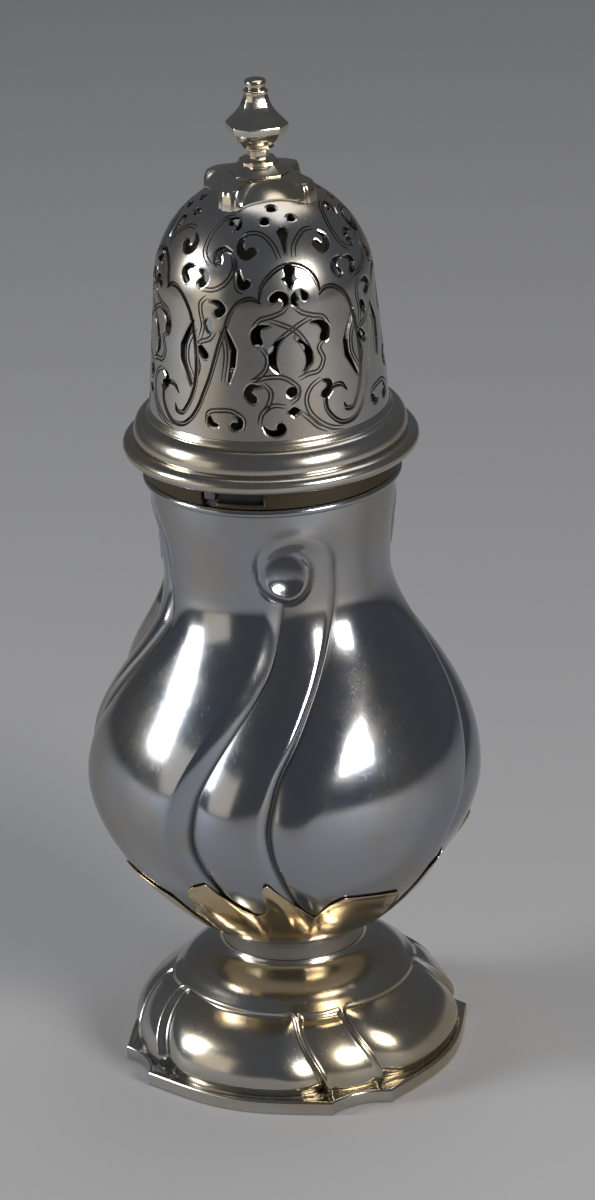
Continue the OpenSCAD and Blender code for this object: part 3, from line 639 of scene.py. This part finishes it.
def leafCalyx():
    rows = np.linspace(0, 1, 44)
    rounded = [(1.5 + 0.5 * math.cos(t), 0.988 + 0.012 * math.sin(t)) for t in np.linspace(0, math.pi, 9)]
    profile = [(2, t) for t in rows[:-1]] + rounded + [(1, t) for t in rows[-2::-2]]
    angles, tops = np.array(leaves["edge"]).T

    def leafed(angle, radius, height):
        begin, split = leaves["begin"], leaves["split"]
        a = (angle - begin) % quarter + begin
        tall = np.interp(a, angles, tops)
        z = bodyLow + height * tall
        rise = z - bodyLow
        flame = ease((a - begin) / 3) * ease((split - a) / 3)
        broad = ease((a - split) / 3) * ease((begin + quarter - a) / 3)
        # each leaf lies over the next one at its right end
        overFlame, overBroad = -3 - 10.5 * ease(rise / 12.6), 12 - 3.5 * ease(rise / 12.6)
        flameLap = ease((a - overFlame) / (overBroad - overFlame))
        broadLap = ease((a - overBroad) / (quarter + overFlame - overBroad))
        lap = np.where(a < overFlame, 1, np.where(a < overBroad, flameLap, broadLap))
        nose = np.exp(-(((a + 4.9) / 3.0) ** 2 + ((rise - 21) / 3.0) ** 2))
        fold = ease(1 - (tall - rise) / 1.6) * broad
        hollow = np.sin(np.pi * np.clip(height, 0, 1)) * (0.15 * broad + 0.15 * flame)
        rib = flame * np.exp(-((a + 3.2 - 0.28 * (18 - rise)) / 1.2) ** 2)
        rib = rib * ease((rise - 6) / 6) * ease((23 - rise) / 4)
        off = leaves["lift"] + (radius - 1) * leaves["thick"] + leaves["lap"] * lap
        off = off + leaves["nose"] * nose + leaves["fold"] * fold ** 1.5
        off = np.maximum(off - hollow + 0.3 * rib, 0.04 + leaves["thick"] * (radius - 1))
        angle = angle - leaves["lean"] * flame * ease((rise - 14) / 8)
        bed = sum(bodyRelief(angle + turn, z) for turn in (-1.5, 0, 1.5)) / 3
        return angle, bodyRadius(z) + bed + off, z

    finished("leaf_calyx", spun(profile, leaves["steps"]), "caster_body", "leaf_silver", leafed, 50)


def roundFront(node, inside, steps=220):  # ring with a half-oval front
    low, high, out = sizeOf(node)
    tall = (high - low) / 2
    flat = max(inside + (out - inside) * 0.35, out - tall * 1.15)
    front = [(flat + (out - flat) * math.cos(t), low + tall + tall * math.sin(t))
             for t in np.linspace(-math.pi / 2, math.pi / 2, 25)]
    return spun([(inside, low)] + front + [(inside, high)], steps)


lugs = {"size": (2.4, 1.35), "reach": 24.3, "bevel": 0.3, "shadeAndTarnish": 0.7,
        "turns": {"left": -30, "right": 150}}


def mouthFittings():
    finished("mouth_wire", roundFront("mouth_wire", body["mouth"]), "caster_body", "body_silver")
    wide, deep = lugs["size"]
    for side, turn in lugs["turns"].items():
        node = "bayonet_lug_" + side
        low, high = lowOf(node), highOf(node)
        bm = bmesh.new()
        bmesh.ops.create_cube(bm, size=1)
        bmesh.ops.scale(bm, vec=(wide, deep, high - low), verts=bm.verts)
        bmesh.ops.bevel(bm, geom=bm.edges[:], offset=lugs["bevel"], segments=3, profile=0.5, affect="EDGES",
                        material=-1)
        placed(bm, (1, 1, 1), (0, -(lugs["reach"] - deep / 2), (low + high) / 2),
               Matrix.Rotation(math.radians(turn), 3, "Z"))
        piece = finished(node, bm, "caster_body", "body_silver")
        # the lugs are painted darker, as shade inside the skirt
        shadeAndTarnish(piece.data, lugs["shadeAndTarnish"])


# cover

def coverBezel():
    low, high, r = sizeOf("cover_bezel")
    outline = [(r - 0.8, high), (r - 0.8, low + 0.6), (r - 0.65, low), (r - 0.35, low), (r - 0.05, low + 0.8),
               (r, high)]
    finished("cover_bezel", spun(softened(outline, 0.25), 180), "cover_guide", "inner_silver")


# the last entry is how dark the skirt is painted, as shade under the bead
skirt = {"inner": 23.65, "lip": 0.9, "track": 2.6, "slot": 2.9, "lugAngle": -30, "lock": 22,
         "tool": (22.5, 26.0), "shadeAndTarnish": 1.0}


def bayonetSkirt():
    low, high, r = sizeOf("bayonet_skirt")
    bm = spun(softened([(skirt["inner"], high), (skirt["inner"], low), (r, low), (r, high)], 0.18), 240)
    piece = finished("bayonet_skirt", bm, "cover", "cover_silver")
    lip, track, (near, far) = skirt["lip"], skirt["track"], skirt["tool"]
    middle = -(near + far) / 2
    side = math.asin(skirt["slot"] / 2 / skirt["inner"])
    tools = []
    for lug in (0, 180):
        toLug = Matrix.Rotation(math.radians(skirt["lugAngle"] + lug), 3, "Z")
        entry, groove = bmesh.new(), bmesh.new()
        bmesh.ops.create_cube(entry, size=1)
        placed(entry, (skirt["slot"], far - near, 2 * lip + track), (0, middle, low + track / 2), toLug)
        bmesh.ops.create_grid(groove, x_segments=1, y_segments=1, size=0.5)
        upright = Matrix.Rotation(math.pi / 2, 3, "Y")
        bmesh.ops.rotate(groove, cent=(0, 0, 0), matrix=upright, verts=groove.verts)
        placed(groove, (1, far - near, track), (0, middle, low + lip + track / 2),
               toLug @ Matrix.Rotation(-side, 3, "Z"))
        bmesh.ops.spin(groove, geom=groove.verts[:] + groove.edges[:] + groove.faces[:], axis=(0, 0, 1),
                       steps=10, angle=math.radians(skirt["lock"]) + 2 * side)
        tools += [entry, groove]
    cutAway(piece, tools)
    # the whole skirt is painted dark, as shade under the bead
    shadeAndTarnish(piece.data, skirt["shadeAndTarnish"])


def cutAway(piece, tools):
    cutters = []
    for bm in tools:
        bmesh.ops.recalc_face_normals(bm, faces=bm.faces)
        mesh = bpy.data.meshes.new("cutter")
        bm.to_mesh(mesh)
        bm.free()
        mesh.transform(Matrix.Scale(mm, 4))
        cutter = bpy.data.objects.new("cutter", mesh)
        bpy.context.scene.collection.objects.link(cutter)
        cutters.append(cutter)
        cut = piece.modifiers.new("cut", "BOOLEAN")
        cut.operation, cut.solver, cut.object = "DIFFERENCE", "MANIFOLD", cutter
    bpy.context.view_layer.update()
    made = bpy.data.meshes.new_from_object(piece.evaluated_get(bpy.context.evaluated_depsgraph_get()))
    piece.modifiers.clear()
    old, piece.data = piece.data, made
    made.name = piece.name
    for cutter in cutters:
        bpy.data.objects.remove(cutter)
    bpy.data.meshes.remove(old)
    print(piece.name, "cut", len(made.polygons), "faces")


def coverRings():
    skirtOut = reachOf("bayonet_skirt")
    finished("cover_bead", roundFront("cover_bead", skirtOut, 260), "cover", "cover_silver")
    low, high, out = sizeOf("cover_moulding")
    seat, domeOut = highOf("bayonet_skirt"), reachOf("pierced_dome")
    waist = (domeOut + 1.15, low + 0.93 * (high - low))  # where the swell turns into the hollow
    swell = bend((out - 0.25, low), (out + 0.15, low + 1.9), (waist[0] + 1.4, waist[1] - 0.2), waist, 28)
    neck = bend(waist, (waist[0] - 0.2, waist[1] + 0.03), (domeOut + 0.72, high - 0.2),
                (domeOut + 0.7, high), 8)
    outline = [(domeOut, high), (domeOut, seat), (skirtOut, seat), (skirtOut, low)] + swell + neck
    finished("cover_moulding", spun(outline + [(domeOut + 0.7, high)], 260), "cover", "cover_silver")
    low, high = lowOf("dome_ring"), highOf("dome_ring")
    tip = (domeOut + 0.16, high - 0.06)
    hollow = bend((domeOut + 0.7, low), (domeOut + 0.68, low + 0.5), (domeOut + 0.2, high - 0.45), tip, 12)
    ring = [(domeOut, high), (domeOut, low)] + hollow + [tip, (domeOut + 0.1, high)]
    finished("dome_ring", spun(ring, 240), "cover", "cover_silver")


dome = {"steps": 360, "wall": 0.8, "base": 22.95, "taper": 1.95, "side": (136.5, 160.1), "stud": 1.1}
domeLean = math.atan(dome["taper"] / (dome["side"][1] - dome["side"][0]))
domeSide = math.hypot(dome["taper"], dome["side"][1] - dome["side"][0])
crown = dome["base"] - dome["taper"]


def domeSpot(along, cut=0.0):  # radius, height and lift of the normal, by length up the dome from its ring
    if along < domeSide:
        r, z = dome["base"] - along * math.sin(domeLean), dome["side"][0] + along * math.cos(domeLean)
        lift = domeLean
    else:
        up = (along - domeSide) / crown
        r, z, lift = crown * math.cos(up), dome["side"][1] + crown * math.sin(up), max(up, domeLean)
    return r - cut * math.cos(lift), z - cut * math.sin(lift), lift


def domeAlong(height):  # height above the ring to length up the dome
    z = dome["side"][0] - 0.1 + height
    if z < dome["side"][1]:
        return (z - dome["side"][0]) / math.cos(domeLean)
    return domeSide + crown * math.asin(min(1, (z - dome["side"][1]) / crown))


# Piercings of one quarter: angle from the middle of the panel, height above the ring, half width
piercings = {
    "dots": [
        [(-2.2, 41.7, 0.75)], [(-9.7, 40, 0.75)], [(12.7, 40.1, 0.75)], [(-0.9, 9.2, 0.88)]],
    "keyhole": [
        [(2.6, 38.2, 0.95), (2.3, 37.2, 0.6), (1.9, 36.2, 0.38), (1.5, 34.9, 0.1)]],
    "crownCommas": [
        [(-22.8, 38, 0.15), (-26.2, 37.1, 0.5), (-25.8, 35.7, 0.7), (-22.4, 34.9, 0.8), (-18.8, 35.5, 0.8)],
        [(28.6, 37.3, 0.15), (31.5, 36.3, 0.45), (30.2, 35, 0.65), (26.2, 34.6, 0.75), (23.4, 35.5, 0.75)]],
    "spandrelCommas": [
        [(-31.8, 38.5, 0.15), (-29.6, 39.3, 0.5), (-32.2, 40.1, 0.75), (-35.6, 39.9, 0.75)],
        [(-39.1, 33.8, 0.75), (-39.8, 35, 0.65), (-36.4, 35.8, 0.45), (-31.2, 35.4, 0.12)],
        [(-58.1, 29.8, 0.75), (-60.4, 31, 0.65), (-58, 32.1, 0.45), (-53.2, 32.4, 0.12)],
        [(-50.8, 32, 0.12), (-46.9, 31.6, 0.45), (-45, 30.5, 0.7), (-47.4, 29.6, 0.75)],
        [(-41.2, 26.6, 0.12), (-36.6, 26.4, 0.5), (-34.6, 25.2, 0.72), (-37, 24.4, 0.75)]],
    "drop": [
        [(-26, 32.6, 0.08), (-25.5, 31.2, 0.45), (-23.8, 30, 0.85), (-21.8, 30.1, 0.75)]],
    "star": [[(2.2, 32.2, 0.95), (2.2, 31.5, 0.75), (2, 31, 0.85), (1.9, 30.6, 1.5), (1.8, 30.2, 0.75),
         (1.6, 29.5, 0.4), (1.4, 28.6, 0.06)]],
    "pair": [
        [(-7.6, 27.3, 0.7), (-5.2, 28, 0.62), (-2.2, 27.5, 0.68), (-1.2, 26.4, 0.45), (-2.8, 25.6, 0.1)],
        [(9.2, 27.1, 0.7), (6.4, 27.9, 0.62), (3.7, 27.3, 0.68), (3, 26.2, 0.45), (4.5, 25.4, 0.1)]],
    "hooks": [
        [(-16.8, 19.2, 0.9), (-17.6, 20.7, 0.8), (-15.4, 21.9, 0.5), (-10.2, 22.2, 0.12)],
        [(18.4, 18.9, 0.9), (19.4, 20.2, 0.8), (16.6, 21.6, 0.5), (11.4, 22.1, 0.12)]],
    "crescents": [
        [(-3.4, 19.9, 0.08), (-7.2, 18.6, 0.42), (-9.5, 16.6, 0.68), (-9.2, 14.8, 0.62), (-6.4, 13, 0.12)],
        [(2.2, 19.7, 0.08), (6.3, 18.1, 0.42), (9.1, 16.3, 0.68), (9, 14.6, 0.62), (5.8, 12.9, 0.12)]],
    "lowCommas": [
        [(-20.2, 8.2, 0.8), (-22.3, 9.3, 0.7), (-20.6, 10.6, 0.5), (-15.6, 10.6, 0.12)],
        [(16.4, 7.9, 0.8), (18.9, 8.8, 0.68), (18.6, 10.1, 0.45), (15.4, 10.7, 0.12)]],
    "lens": [
        [(-3.3, 5.5, 0.08), (-1.8, 5.5, 0.55), (-0.3, 5.4, 0.85), (1.2, 5.4, 0.55), (2.7, 5.3, 0.08)]],
    "bottom": [
        [(-15.2, 2.9, 0.12), (-13.2, 1.9, 0.45), (-9.8, 1.5, 0.6), (-6.8, 2.2, 0.8), (-7, 2.6, 0.75)],
        [(-42, 4, 0.4), (-41.2, 3, 0.65), (-38.4, 2.8, 0.3)],
        [(-29.2, 2.8, 0.75), (-26.6, 3.2, 0.6), (-26.6, 4.3, 0.4), (-29, 4.8, 0.1)]],
    "ovals": [
        [(-43, 22.3, 0.7), (-41.7, 21.3, 0.7)], [(-46.9, 17, 0.75), (-44.8, 16.1, 0.75)]],
}
chevrons = [
    [(-33.4, 21.9, 0.15), (-31.2, 19.7, 0.5), (-28.8, 17.5, 0.62), (-29.6, 14.6, 0.6), (-31.8, 11.4, 0.25)],
    [(38, 22.4, 0.15), (34.7, 19.8, 0.5), (31, 17, 0.62), (31.2, 14.4, 0.6), (37.2, 9.9, 0.25)]]
# Engraved lines, the deep ones first: angle and height along each line
deepLines = [
    [(-15.2, 26.9), (-13.3, 29.6), (-7.8, 31.8), (0.2, 33), (7.9, 32.7), (13.9, 31.3), (17.1, 29),
     (18, 27.4)],
    [(-14.6, 26.6), (-18.5, 27.4), (-23.5, 27.1), (-27.5, 26), (-30.7, 24.1), (-33.6, 21.3), (-36.4, 18.5),
     (-39.2, 15), (-42, 11.6), (-45.2, 8.6), (-48.6, 5.6), (-53, 3.2), (-58.4, 1.7), (-64.9, 1.6),
     (-70.8, 3.2), (-74, 5.6), (-72.8, 7.9), (-68.7, 9), (-64, 8.9), (-61.2, 7.6)],
    [(17.4, 27), (20.4, 27.9), (25, 28), (30.9, 26.8), (35.6, 24.4), (38.8, 20.4), (40.5, 15.4),
     (40.3, 11.6), (38.2, 8.1), (35, 5.6), (31, 3.9), (27.6, 4.1), (26.4, 5.2)]]
fineLines = [
    [(-2.6, 34.2), (-5, 36.2), (-8.6, 37.5), (-14, 38.3), (-19.5, 38.4), (-24, 38.2)],
    [(6.4, 34.2), (7.4, 35.8), (10.8, 36.9), (18.9, 38.1), (25.5, 38.1)],
    [(-33.6, 40.7), (-41.1, 40.4), (-47.6, 38.8), (-49.8, 36.6), (-48.2, 34.4), (-43.4, 33)],
    [(-29.8, 34.6), (-29, 32.6), (-32.8, 30.2), (-40.2, 28.7), (-46.4, 28.6)],
    [(-28.6, 34.4), (-27.9, 32.5), (-27.4, 31), (-25.6, 29), (-22.8, 28.7)],
    [(-1, 25.7), (-3.4, 24.8), (-9.1, 24), (-15, 23.4), (-18.6, 22)],
    [(3.2, 25.3), (5.9, 24.4), (12, 23.4), (18.3, 22.6), (21.6, 20.8)],
    [(-10, 23.2), (-3.5, 22.2), (3.1, 20.7), (8.2, 18), (10.6, 16)],
    [(11.6, 23), (6, 22.2), (1.3, 21.2), (-6.4, 19.2), (-9.6, 18)],
    [(-14.6, 17.8), (-12.2, 16.4), (-13, 14), (-17, 12.4), (-19.9, 11.7)],
    [(-19.9, 11.7), (-11.5, 12.4), (-4.9, 12.2), (-0.4, 11.1), (2.4, 9.8), (1.2, 7.9), (-1.8, 7.2)],
    [(3, 11.6), (8, 12.3), (13.4, 12.6), (16.6, 14.6), (14.8, 17.2), (16.6, 18)],
    [(-14.4, 11.2), (-11.2, 9.6), (-12.6, 7), (-16.2, 5), (-17, 3.4)],
    [(-15.8, 5.4), (-10.3, 6.9), (-4.4, 6.6)],
    [(14.2, 11), (9.2, 9.9), (6.2, 7.8), (6.9, 5.4), (11.8, 2.9), (18.5, 1.2), (25, 0.6)],
    [(3.4, 5), (6.6, 3.8), (11, 2), (16, 0.9)],
    [(-43.6, 2.9), (-42.6, 5), (-36, 5.8), (-29.6, 5.7), (-24.8, 4.2), (-25.4, 2.2)],
    [(-43.4, 27.3), (-46.8, 26), (-46.9, 24.2), (-45.6, 21.6), (-47.6, 19)],
    [(-38.6, 21), (-41.6, 19.4), (-47.2, 18.4), (-49.6, 16.6), (-48.2, 13.4), (-50.6, 10.8)],
    [(-35.4, 21.4), (-33, 17.4), (-34.6, 11.4)],
    [(40, 21), (34.8, 17), (34.8, 14.4), (38.8, 11.2)],
]
# piercings and their bevel: widening, depth, share of the width left at the bottom
# lines: half width and depth, gap from the middle of a double line, share of the width at the ends and bottom
# sides: how far the sides of a line face outwards; flush: the same for the skin of the dome
cuts = {"over": 0.6, "fuller": 1.2, "through": (0, 2.4, 0.97), "bevel": (0.3, 0.14, 0.5),
        "deep": (0.52, 0.42), "fine": (0.19, 0.24), "pair": 0.34, "ends": 0.35, "bottom": 0.12,
        "sides": (0.1, 0.82), "flush": 0.985}


def stroke(bm, points, depth, taper, aside=0.0, straight=False):  # sweeps a cutter along a line on the dome
    mean = sum(domeSpot(domeAlong(p[1]))[0] for p in points) / len(points)
    scale = math.radians(1) * mean
    flat = np.array([(p[0] * scale, domeAlong(p[1])) for p in points], float)
    half = np.array([p[2] for p in points], float)
    if len(points) == 1:
        flat, half = np.concatenate([flat, flat + [0.1, 0]]), np.repeat(half, 2)
    length = np.concatenate([[0], np.cumsum(np.linalg.norm(np.diff(flat, axis=0), axis=1))])
    t = np.union1d(np.linspace(0, length[-1], max(3, int(length[-1] / 0.45))), length).round(3)
    t = t[np.concatenate([[True], np.diff(t) > 0.04])]
    between = np.interp if straight else lambda at, xs, ys: flowing(at, np.stack([xs, ys], 1))
    line = np.stack([between(t, length, flat[:, k]) for k in (0, 1)], 1)
    width = np.interp(t, length, half)
    course = np.gradient(line, axis=0)
    line = line + aside * np.stack([-course[:, 1], course[:, 0]], 1) / np.linalg.norm(course, axis=1)[:, None]
    bulge = np.sin(np.linspace(0, np.pi / 2, 6)[1:])  # a round end at each side
    ahead, back = line[-1] - line[-2], line[0] - line[1]
    ahead, back = ahead / np.linalg.norm(ahead), back / np.linalg.norm(back)
    line = np.concatenate([line[0] + np.outer(width[0] * bulge[::-1], back), line,
                           line[-1] + np.outer(width[-1] * bulge, ahead)])
    narrow = np.sqrt(1 - np.minimum(bulge, 0.995) ** 2)
    width = np.concatenate([np.maximum(width[0] * narrow[::-1], 0.03), width,
                            np.maximum(width[-1] * narrow, 0.03)])
    spots, normals = [], []
    for x, along in line:
        r, z, lift = domeSpot(along)
        a = math.radians(panelFront + x / scale)
        spots.append(Vector((r * math.sin(a), -r * math.cos(a), z)))
        normals.append(Vector((math.cos(lift) * math.sin(a), -math.cos(lift) * math.cos(a), math.sin(lift))))
    face, before = None, None
    for i, (p, n, w) in enumerate(zip(spots, normals, width)):
        along = (spots[min(i + 1, len(spots) - 1)] - spots[max(i - 1, 0)]).normalized()
        side = n.cross(along).normalized() * w
        upper = 1 + cuts["over"] / depth * (1 - taper)
        points = [p + side * upper + n * cuts["over"], p - side * upper + n * cuts["over"],
                  p - side * taper - n * depth, p + side * taper - n * depth]
        if face is None:
            face = bm.faces.new([bm.verts.new(q) for q in points])
        else:
            grown = bmesh.ops.extrude_face_region(bm, geom=[face])["geom"]
            if i > 1:
                bm.faces.remove(face)
            face = next(g for g in grown if isinstance(g, bmesh.types.BMFace))
            for v in face.verts:
                v.co = points[min(range(4), key=lambda j: (v.co - before[j]).length)]
        before = points


def piercedDome():
    seat = lowOf("pierced_dome")
    steps = np.concatenate([np.linspace(0, domeSide, 26, endpoint=False),
                            np.linspace(domeSide, domeSide + crown * 1.517, 40)])
    outer = [(dome["base"], seat)] + [domeSpot(s)[:2] for s in steps]
    inner = [domeSpot(s, dome["wall"])[:2] for s in steps[::2]]
    top = dome["side"][1] + crown
    profile = outer + [(dome["stud"], top - 0.03), (dome["stud"], top - dome["wall"] - 0.03)] + inner[::-1]
    profile.append((dome["base"] - dome["wall"], seat))
    piece = finished("pierced_dome", spun(profile, dome["steps"]), "cover", "dome_silver", None, None)
    shapes = [(shape, False) for group in piercings.values() for shape in group]
    shapes += [(shape, True) for shape in chevrons]
    tools = []
    for grown, depth, taper in (cuts["through"], cuts["bevel"]):
        holes = bmesh.new()
        for shape, straight in shapes:
            wider = 1 if straight else cuts["fuller"]
            stroke(holes, [(a, h, half * wider + grown) for a, h, half in shape], depth, taper, 0, straight)
        tools.append(fourTimes(holes))
    for lines, (half, depth), asides in ((deepLines, cuts["deep"], (0,)),
                                         (fineLines, cuts["fine"], (-cuts["pair"], cuts["pair"]))):
        for line in lines:
            last = len(line) - 1
            for aside in asides:
                bm = bmesh.new()
                widths = [half * (cuts["ends"] if i in (0, last) else 1) for i in range(last + 1)]
                stroke(bm, [(a, h, w) for (a, h), w in zip(line, widths)], depth, cuts["bottom"], aside)
                tools.append(fourTimes(bm))
    cutAway(piece, tools)
    trueNormals(piece.data)


def trueNormals(mesh):  # the dome shades as one smooth form, the cuts as they lie
    mesh.shade_smooth()
    markedShadeAndTarnish = np.zeros(len(mesh.polygons))
    flush, (least, most) = cuts["flush"], cuts["sides"]
    co = np.array([v.co for v in mesh.vertices]) / mm
    normals = np.empty((len(mesh.loops), 3))
    for face in mesh.polygons:
        n = np.array(face.normal)
        facing = 1.0
        for k in face.loop_indices:
            x, y, z = co[mesh.loops[k].vertex_index]
            r = math.hypot(x, y)
            lift = max(domeLean, math.atan2(z - dome["side"][1], r)) if z > dome["side"][0] else 0
            out = np.array((x / r * math.cos(lift), y / r * math.cos(lift), math.sin(lift)))
            facing = n @ out
            normals[k] = out if facing > flush else -out if facing < -flush else n
        # the slanting sides of the cut lines are marked darker: tarnish in the cuts and painted shade in them
        markedShadeAndTarnish[face.index] = least < facing < most  # slanting sides of the lines
    shadeAndTarnish(mesh, markedShadeAndTarnish)
    mesh.normals_split_custom_set(normals.tolist())


cap = {"scallop": 9.3, "earHalf": 7.5, "ear": 11.75, "edge": 0.35, "crest": 6.4, "flat": 5.6, "droop": 1.0,
       "scoop": 15.0, "round": 0.9, "blunt": (29, 9)}


def capPlate():
    top, seat = highOf("cap_plate"), crown + 0.06
    shares, faces = np.linspace(0, 1, 16), np.linspace(0, 1, 13)
    profile = [(2 + s, 0) for s in shares] + [(3 + s, 0) for s in faces[1:]]
    profile += [(3 + s, 1) for s in faces[::-1]] + [(2 + s, 1) for s in shares[-2::-1]]

    def eared(angle, radius, height):
        b = np.abs((angle - panelFront + 45) % quarter - 45)
        corner, bow = 45 - cap["earHalf"], np.radians(b)
        chord = cap["ear"] / math.cos(math.radians(cap["earHalf"])) * math.cos(math.radians(corner))
        side = (cap["scallop"] + (chord - cap["scallop"]) * (b / corner) ** 2) / np.cos(bow)
        end = cap["ear"] / np.cos(np.radians(45 - b)) - 0.35 * ease((b - corner) / -3 + 1)
        rim = np.where(b < corner, np.minimum(side, end), end)
        # crest: where a round scoop between two ears meets the top
        reach = np.maximum((cap["scoop"] - cap["crest"]) ** 2 - (cap["scoop"] * np.sin(bow)) ** 2, 0)
        crest = np.minimum(cap["scoop"] * np.cos(bow) - np.sqrt(reach), rim - cap["round"])
        inner, outer = np.clip(radius - 2, 0, 1), np.clip(radius - 3, 0, 1)
        r = dome["stud"] + (crest - dome["stud"]) * inner + (rim - crest) * outer

        def sinking(q):
            return top - cap["droop"] * np.clip((q - cap["flat"]) / (cap["ear"] - cap["flat"]), 0, 1) ** 1.5

        under = dome["side"][1] + np.sqrt(seat ** 2 - r ** 2)
        edge = dome["side"][1] + np.sqrt(seat ** 2 - rim ** 2) + cap["edge"]
        blunt = ease((b - cap["blunt"][0]) / cap["blunt"][1])
        slope = outer ** 0.8 * (1 - blunt) + (1 - np.sqrt(1 - np.minimum(outer, 0.999) ** 2)) * blunt
        over = np.where(outer > 0, sinking(crest) + (edge - sinking(crest)) * slope, sinking(r))
        return angle, r, under + (np.maximum(over, under + 0.05) - under) * height

    finished("cap_plate", spun(profile, 320), "cover", "finial_silver", eared, 30)


def eightSided(levels, bevel):  # octagon with broad and narrow sides, drawn through its levels
    bm = bmesh.new()
    corners = [math.radians(finialFront + q * quarter + s * 28.5) for q in range(4) for s in (-1, 1)]
    loop = bmesh.ops.create_circle(bm, cap_ends=False, segments=8, radius=1)["verts"]
    loop.sort(key=lambda v: math.atan2(v.co.x, -v.co.y))
    corners.sort(key=lambda a: math.atan2(math.sin(a), math.cos(a)))
    edges = bm.edges[:]
    ring = loop
    for i, (r, z) in enumerate(levels):
        if i:
            grown = bmesh.ops.extrude_edge_only(bm, edges=edges)["geom"]
            fresh = [g for g in grown if isinstance(g, bmesh.types.BMVert)]
            edges = [g for g in grown if isinstance(g, bmesh.types.BMEdge)]
            ring = [min(fresh, key=lambda v: (v.co - old.co).length) for old in ring]
        for v, a in zip(ring, corners):
            v.co = (r * math.sin(a), -r * math.cos(a), z)
    bmesh.ops.holes_fill(bm, edges=bm.edges, sides=8)
    bmesh.ops.recalc_face_normals(bm, faces=bm.faces)
    bmesh.ops.bevel(bm, geom=bm.edges[:], offset=bevel, segments=2, profile=0.5, affect="EDGES", material=-1,
                    clamp_overlap=True)
    return bm


# the faceted pieces: radius, bevel, then share of the height and of the radius at each level
facets = {
    "finial_base": (5.9, 0.07, [
        (0, 0.99), (0.07, 1), (0.15, 0.97), (0.68, 0.69), (0.72, 0.66), (0.95, 0.65), (1, 0.62)]),
    "finial_vase": (6.1, 0.05, [
        (0, 0.42), (0.03, 0.34), (0.14, 0.34), (0.163, 0.52), (0.185, 0.53), (0.2, 0.46), (0.252, 0.62),
        (0.326, 0.82), (0.422, 0.955), (0.47, 0.985), (0.508, 1), (0.526, 0.985), (0.593, 0.84), (0.652, 0.7),
        (0.711, 0.585), (0.77, 0.5), (0.852, 0.425), (0.935, 0.375), (0.95, 0.4), (0.985, 0.4), (1, 0.34)]),
}


def finial():
    for node, (r, bevel, steps) in facets.items():
        low, high = lowOf(node), highOf(node)
        levels = [(r * s, low + (high - low) * h) for h, s in steps]
        finished(node, eightSided(levels, bevel), "cover", "finial_silver", None, 25)
    low, high, r = sizeOf("finial_button")
    outline = [(0, low), (0.86 * r, low), (0.9 * r, low + 0.22), (0.8 * r, low + 0.4)]
    outline += [(0.8 * r + 0.2 * r * math.sin(t) ** 0.7,
                 low + 0.45 + (high - low - 0.6) * (1 - math.cos(t)) / 2)
                for t in np.linspace(0.15, math.pi - 0.5, 14)]
    outline += [(0.72 * r, high - 0.08), (0.4 * r, high), (0, high)]
    finished("finial_button", spun(outline, 72, False), "cover", "finial_silver")


def fastening():
    low, high, r = sizeOf("finial_stud")
    thread = [(r - (0.14 if k % 2 else 0), low + 0.35 + 0.2 * k) for k in range(24)]
    outline = [(0, low), (r - 0.25, low)] + thread + [(r, low + 5.4), (r, high), (0, high)]
    finished("finial_stud", spun(outline, 40, False), "cover", "fastening")
    bore = dome["stud"]
    low, high, r = sizeOf("finial_washer")
    outline = softened([(bore, low), (r, low), (r, high), (bore, high)], 0.2)
    finished("finial_washer", spun(outline, 72), "cover", "fastening")
    low, high, r = sizeOf("finial_nut")
    outline = [(bore, low + 0.15), (1.3, low), (r - 0.3, low), (r, low + 0.25), (r, high), (bore, high)]

    def hexagon(angle, radius, height):
        side = r * math.cos(math.pi / 6) / np.cos(np.radians(angle % 60 - 30))
        return angle, np.where(radius > 1.5, radius * side / r, radius), height

    finished("finial_nut", spun(outline, 48), "cover", "fastening", hexagon, 20)


setCamera()
setLamps()
setFloor()
silver = {name: agedSilver(name) for name in finishes}
print("stage set")
footRim()
footDome()
footCollar()
print("foot done")
bodyShell()
leafCalyx()
mouthFittings()
print("body done")
coverBezel()
bayonetSkirt()
coverRings()
piercedDome()
capPlate()
finial()
fastening()
print("cover done")
